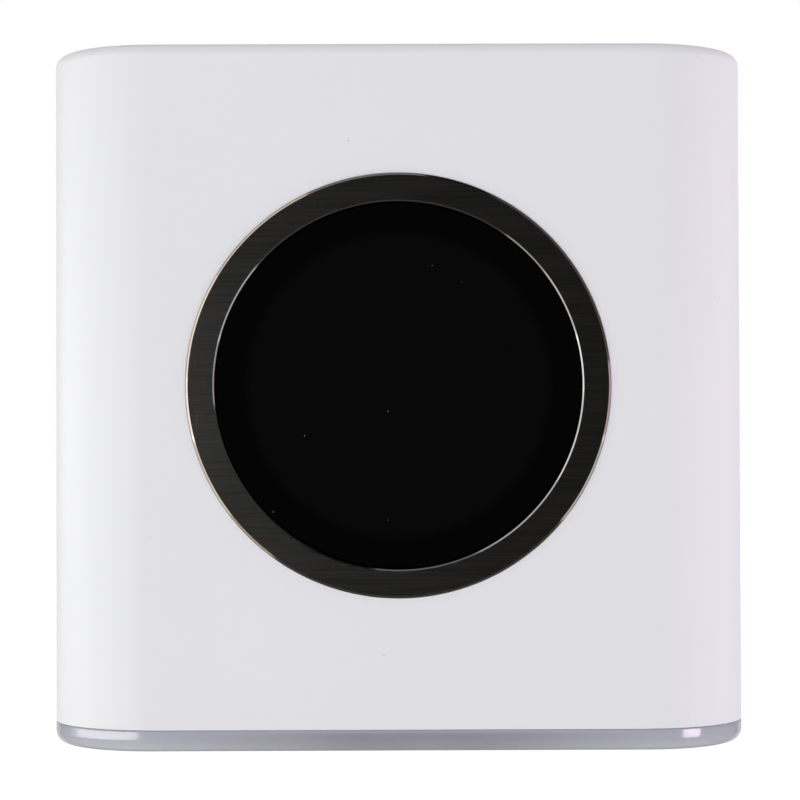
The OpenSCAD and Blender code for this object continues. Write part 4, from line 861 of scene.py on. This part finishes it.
# %% Floor and surroundings
FLOOR_HALF = 4.0
PAPER_GRAIN = 0.6 * MM
PAPER_ROUGH, PAPER_GLOW = 0.9, 0.95
ROOM_SOFT, ROOM_MIRRORED, ROOM_SEEN = 0.265, 0.022, 1.0
bm = bmesh.new()
bmesh.ops.create_grid(bm, x_segments=1, y_segments=1, size=FLOOR_HALF)
floor_mesh = bpy.data.meshes.new("floor")
bm.to_mesh(floor_mesh)
bm.free()
floor = bpy.data.objects.new("floor", floor_mesh)
bpy.context.scene.collection.objects.link(floor)
paper, tree, shader, place = start_material("white_paper_sweep")
pulp = add(tree, "TexNoise", {"Vector": place, "Scale": 1 / PAPER_GRAIN})
sheet = add(tree, "Mix", {"Factor": pulp.outputs["Fac"], FIRST: colour("#828282"), SECOND: colour("#7c7c7c")},
            data_type="RGBA")
feed(tree, shader, {"Base Color": sheet.outputs[MIXED], "Roughness": PAPER_ROUGH, "Specular IOR Level": 0.0,
                    "Emission Color": colour("#ffffff"), "Emission Strength": PAPER_GLOW})
floor_mesh.materials.append(paper)
floor.visible_glossy = False

world = bpy.data.worlds.new("studio")
world.use_nodes = True
bpy.context.scene.world = world
tree = world.node_tree
rays = add(tree, "LightPath", {})
dim = add(tree, "Mix", {"Factor": rays.outputs["Is Glossy Ray"], "A": ROOM_SOFT, "B": ROOM_MIRRORED})
seen = add(tree, "Mix", {"Factor": rays.outputs["Is Camera Ray"], "A": dim.outputs["Result"],
                         "B": ROOM_SEEN})
feed(tree, tree.nodes["Background"], {"Color": colour("#ffffff"), "Strength": seen.outputs["Result"]})
bpy.context.scene.view_settings.view_transform = "Standard"
print("the floor is", 2 * FLOOR_HALF, "m wide")

# %% [markdown]
# ## Studio light
# Studio lamps are soft boxes, so every light here is a rectangle that glows evenly. Its strength is given as
# radiance, because that is what a reflection shows, and its area turns this into watts. A light can be kept
# out of reflections, and light linking lets it act on some pieces only. A panel that stands round the hub is
# given by two directions and two heights, and a strip that lies on the table by its place along X.

# %% Studio lamps
STRIP_Y, STRIP_Z, STRIP_W = -0.11, -0.15, 0.12


def softbox(name, place, aim, width, height, radiance, tint, mirrored=True, only=()):
    """A rectangular studio light that shines from a place at a point, on all pieces or on some only."""
    data = bpy.data.lights.new(name, "AREA")
    data.shape = "RECTANGLE"
    data.size, data.size_y = width, height
    data.energy = radiance * math.pi * width * height
    data.color = colour(tint)[:3]
    light = bpy.data.objects.new(name, data)
    light.location = place
    light.rotation_euler = (Vector(aim) - Vector(place)).to_track_quat("-Z", "Y").to_euler()
    light.visible_camera = False
    light.visible_glossy = mirrored
    if only:
        lit = bpy.data.collections.new(name + "_receivers")
        for piece in only:
            lit.objects.link(piece)
        light.light_linking.receiver_collection = lit
    bpy.context.scene.collection.objects.link(light)
    print(name, "gives", round(data.energy, 2), "W")


def upright_light(name, turn, away, span, radiance, tint, mirrored=True, only=()):
    """An upright panel between two directions, in degrees round from the front to the right."""
    ends = [Vector((math.sin(math.radians(angle)), -math.cos(math.radians(angle)), 0)) * away
            for angle in turn]
    low, high = span
    up = Vector((0, 0, (low + high) / 2))
    softbox(name, (ends[0] + ends[1]) / 2 + up, up, (ends[0] - ends[1]).length, high - low, radiance, tint,
            mirrored, only)


def table_strip(name, x, length, radiance, tint):
    """A dim strip that the bezel alone mirrors, like a lit table in front of the hub."""
    softbox(name, (x, STRIP_Y, STRIP_Z), (x, STRIP_Y, 0), length, STRIP_W, radiance, tint, only=[bezel])


print("lamps: soft boxes, upright panels and table strips")

# %% [markdown]
# ## Light from the left
# A long panel lights the shell's left corner, and shows as a soft band in the base and as a bright line on
# the bezel. Three more lights finish it: one cools the middle of the band, one lets its end fade, and one
# carries the light round the shell's side. The bezel's chamfers also mirror the lit wall, ceiling and table
# of a studio. Dim sheens and strips stand in for these and act on the bezel only, so that the glass stays
# black.

# %% Light from the left
LEFT = 0.8
upright_light("left_panel", turn=(-21, -96), away=LEFT, span=(-0.12, 0.09), radiance=5.0, tint="#fffdf9")
upright_light("left_band", turn=(-26, -82), away=LEFT, span=(-0.14, -0.02), radiance=1.2, tint="#e4f2ff",
              only=[base])
upright_light("left_tail", turn=(-96, -106), away=LEFT, span=(-0.12, 0.09), radiance=1.8, tint="#f4faff",
              only=[base])
upright_light("left_wrap", turn=(-96, -125), away=LEFT, span=(-0.12, 0.12), radiance=4.9, tint="#fffffc",
              only=[shell, bezel])
upright_light("left_sheen_low", turn=(-78, -96), away=LEFT, span=(0.09, 0.55), radiance=4.0, tint="#fffcf8",
              only=[bezel])
upright_light("left_sheen_high", turn=(-78, -96), away=LEFT, span=(0.55, 1.75), radiance=2.6, tint="#fffcf8",
              only=[bezel])
softbox("top_sheen", place=(-0.2, -0.1, 1.2), aim=(-0.2, -0.1, 0), width=0.7, height=0.2, radiance=0.8,
        tint="#ececff", only=[bezel])
table_strip("left_floor_far", x=-0.585, length=0.63, radiance=3.2, tint="#fff8ee")
table_strip("left_floor_near", x=-0.21, length=0.12, radiance=1.8, tint="#fff4e4")
table_strip("middle_floor", x=0.05, length=0.4, radiance=0.2, tint="#fff8ee")

# %% [markdown]
# ## Light from the right
# A narrow, strong panel, slightly violet, stands nearer on the right and shows as a small patch in the
# base's right corner. A wall beside it lights the shell's side, a fill behind that stays out of
# reflections, and a sheen and a strip give the bezel's right chamfers something to mirror.

# %% Light from the right
RIGHT_NEAR, RIGHT = 0.6, 0.7
upright_light("right_panel", turn=(46, 65), away=RIGHT_NEAR, span=(-0.1, 0.035), radiance=13.4,
              tint="#ffe8fc")
upright_light("right_wall", turn=(76, 110), away=RIGHT, span=(-0.12, 0.14), radiance=2.0, tint="#ffe4ff",
              only=[shell, bezel])
upright_light("right_fill", turn=(96, 135), away=RIGHT, span=(-0.1, 0.3), radiance=3.2, tint="#ffe4ff",
              mirrored=False)
upright_light("right_sheen", turn=(82, 98), away=RIGHT, span=(0.14, 1.5), radiance=0.4, tint="#f2f4ff",
              only=[bezel])
table_strip("right_floor", x=0.575, length=0.65, radiance=2.2, tint="#f8faff")

# %% [markdown]
# ## Fill light
# Large soft boxes in front and above even out the shell, and stay out of reflections so that the glass and
# the bezel keep their black. A wide panel behind lights the rear for anyone who walks round the hub.

# %% Fill light
softbox("front_box", place=(0, -1.5, 0.5), aim=(0, 0, 0.05), width=1.0, height=1.0, radiance=0.9,
        tint="#e2e6ff", mirrored=False)
softbox("top_box", place=(0, 0, 1.2), aim=(0, 0, 0), width=1.0, height=1.0, radiance=1.73, tint="#fdfcff",
        mirrored=False)
upright_light("rear_panel", turn=(140, 220), away=1.2, span=(-0.5, 0.9), radiance=0.6, tint="#ffffff")
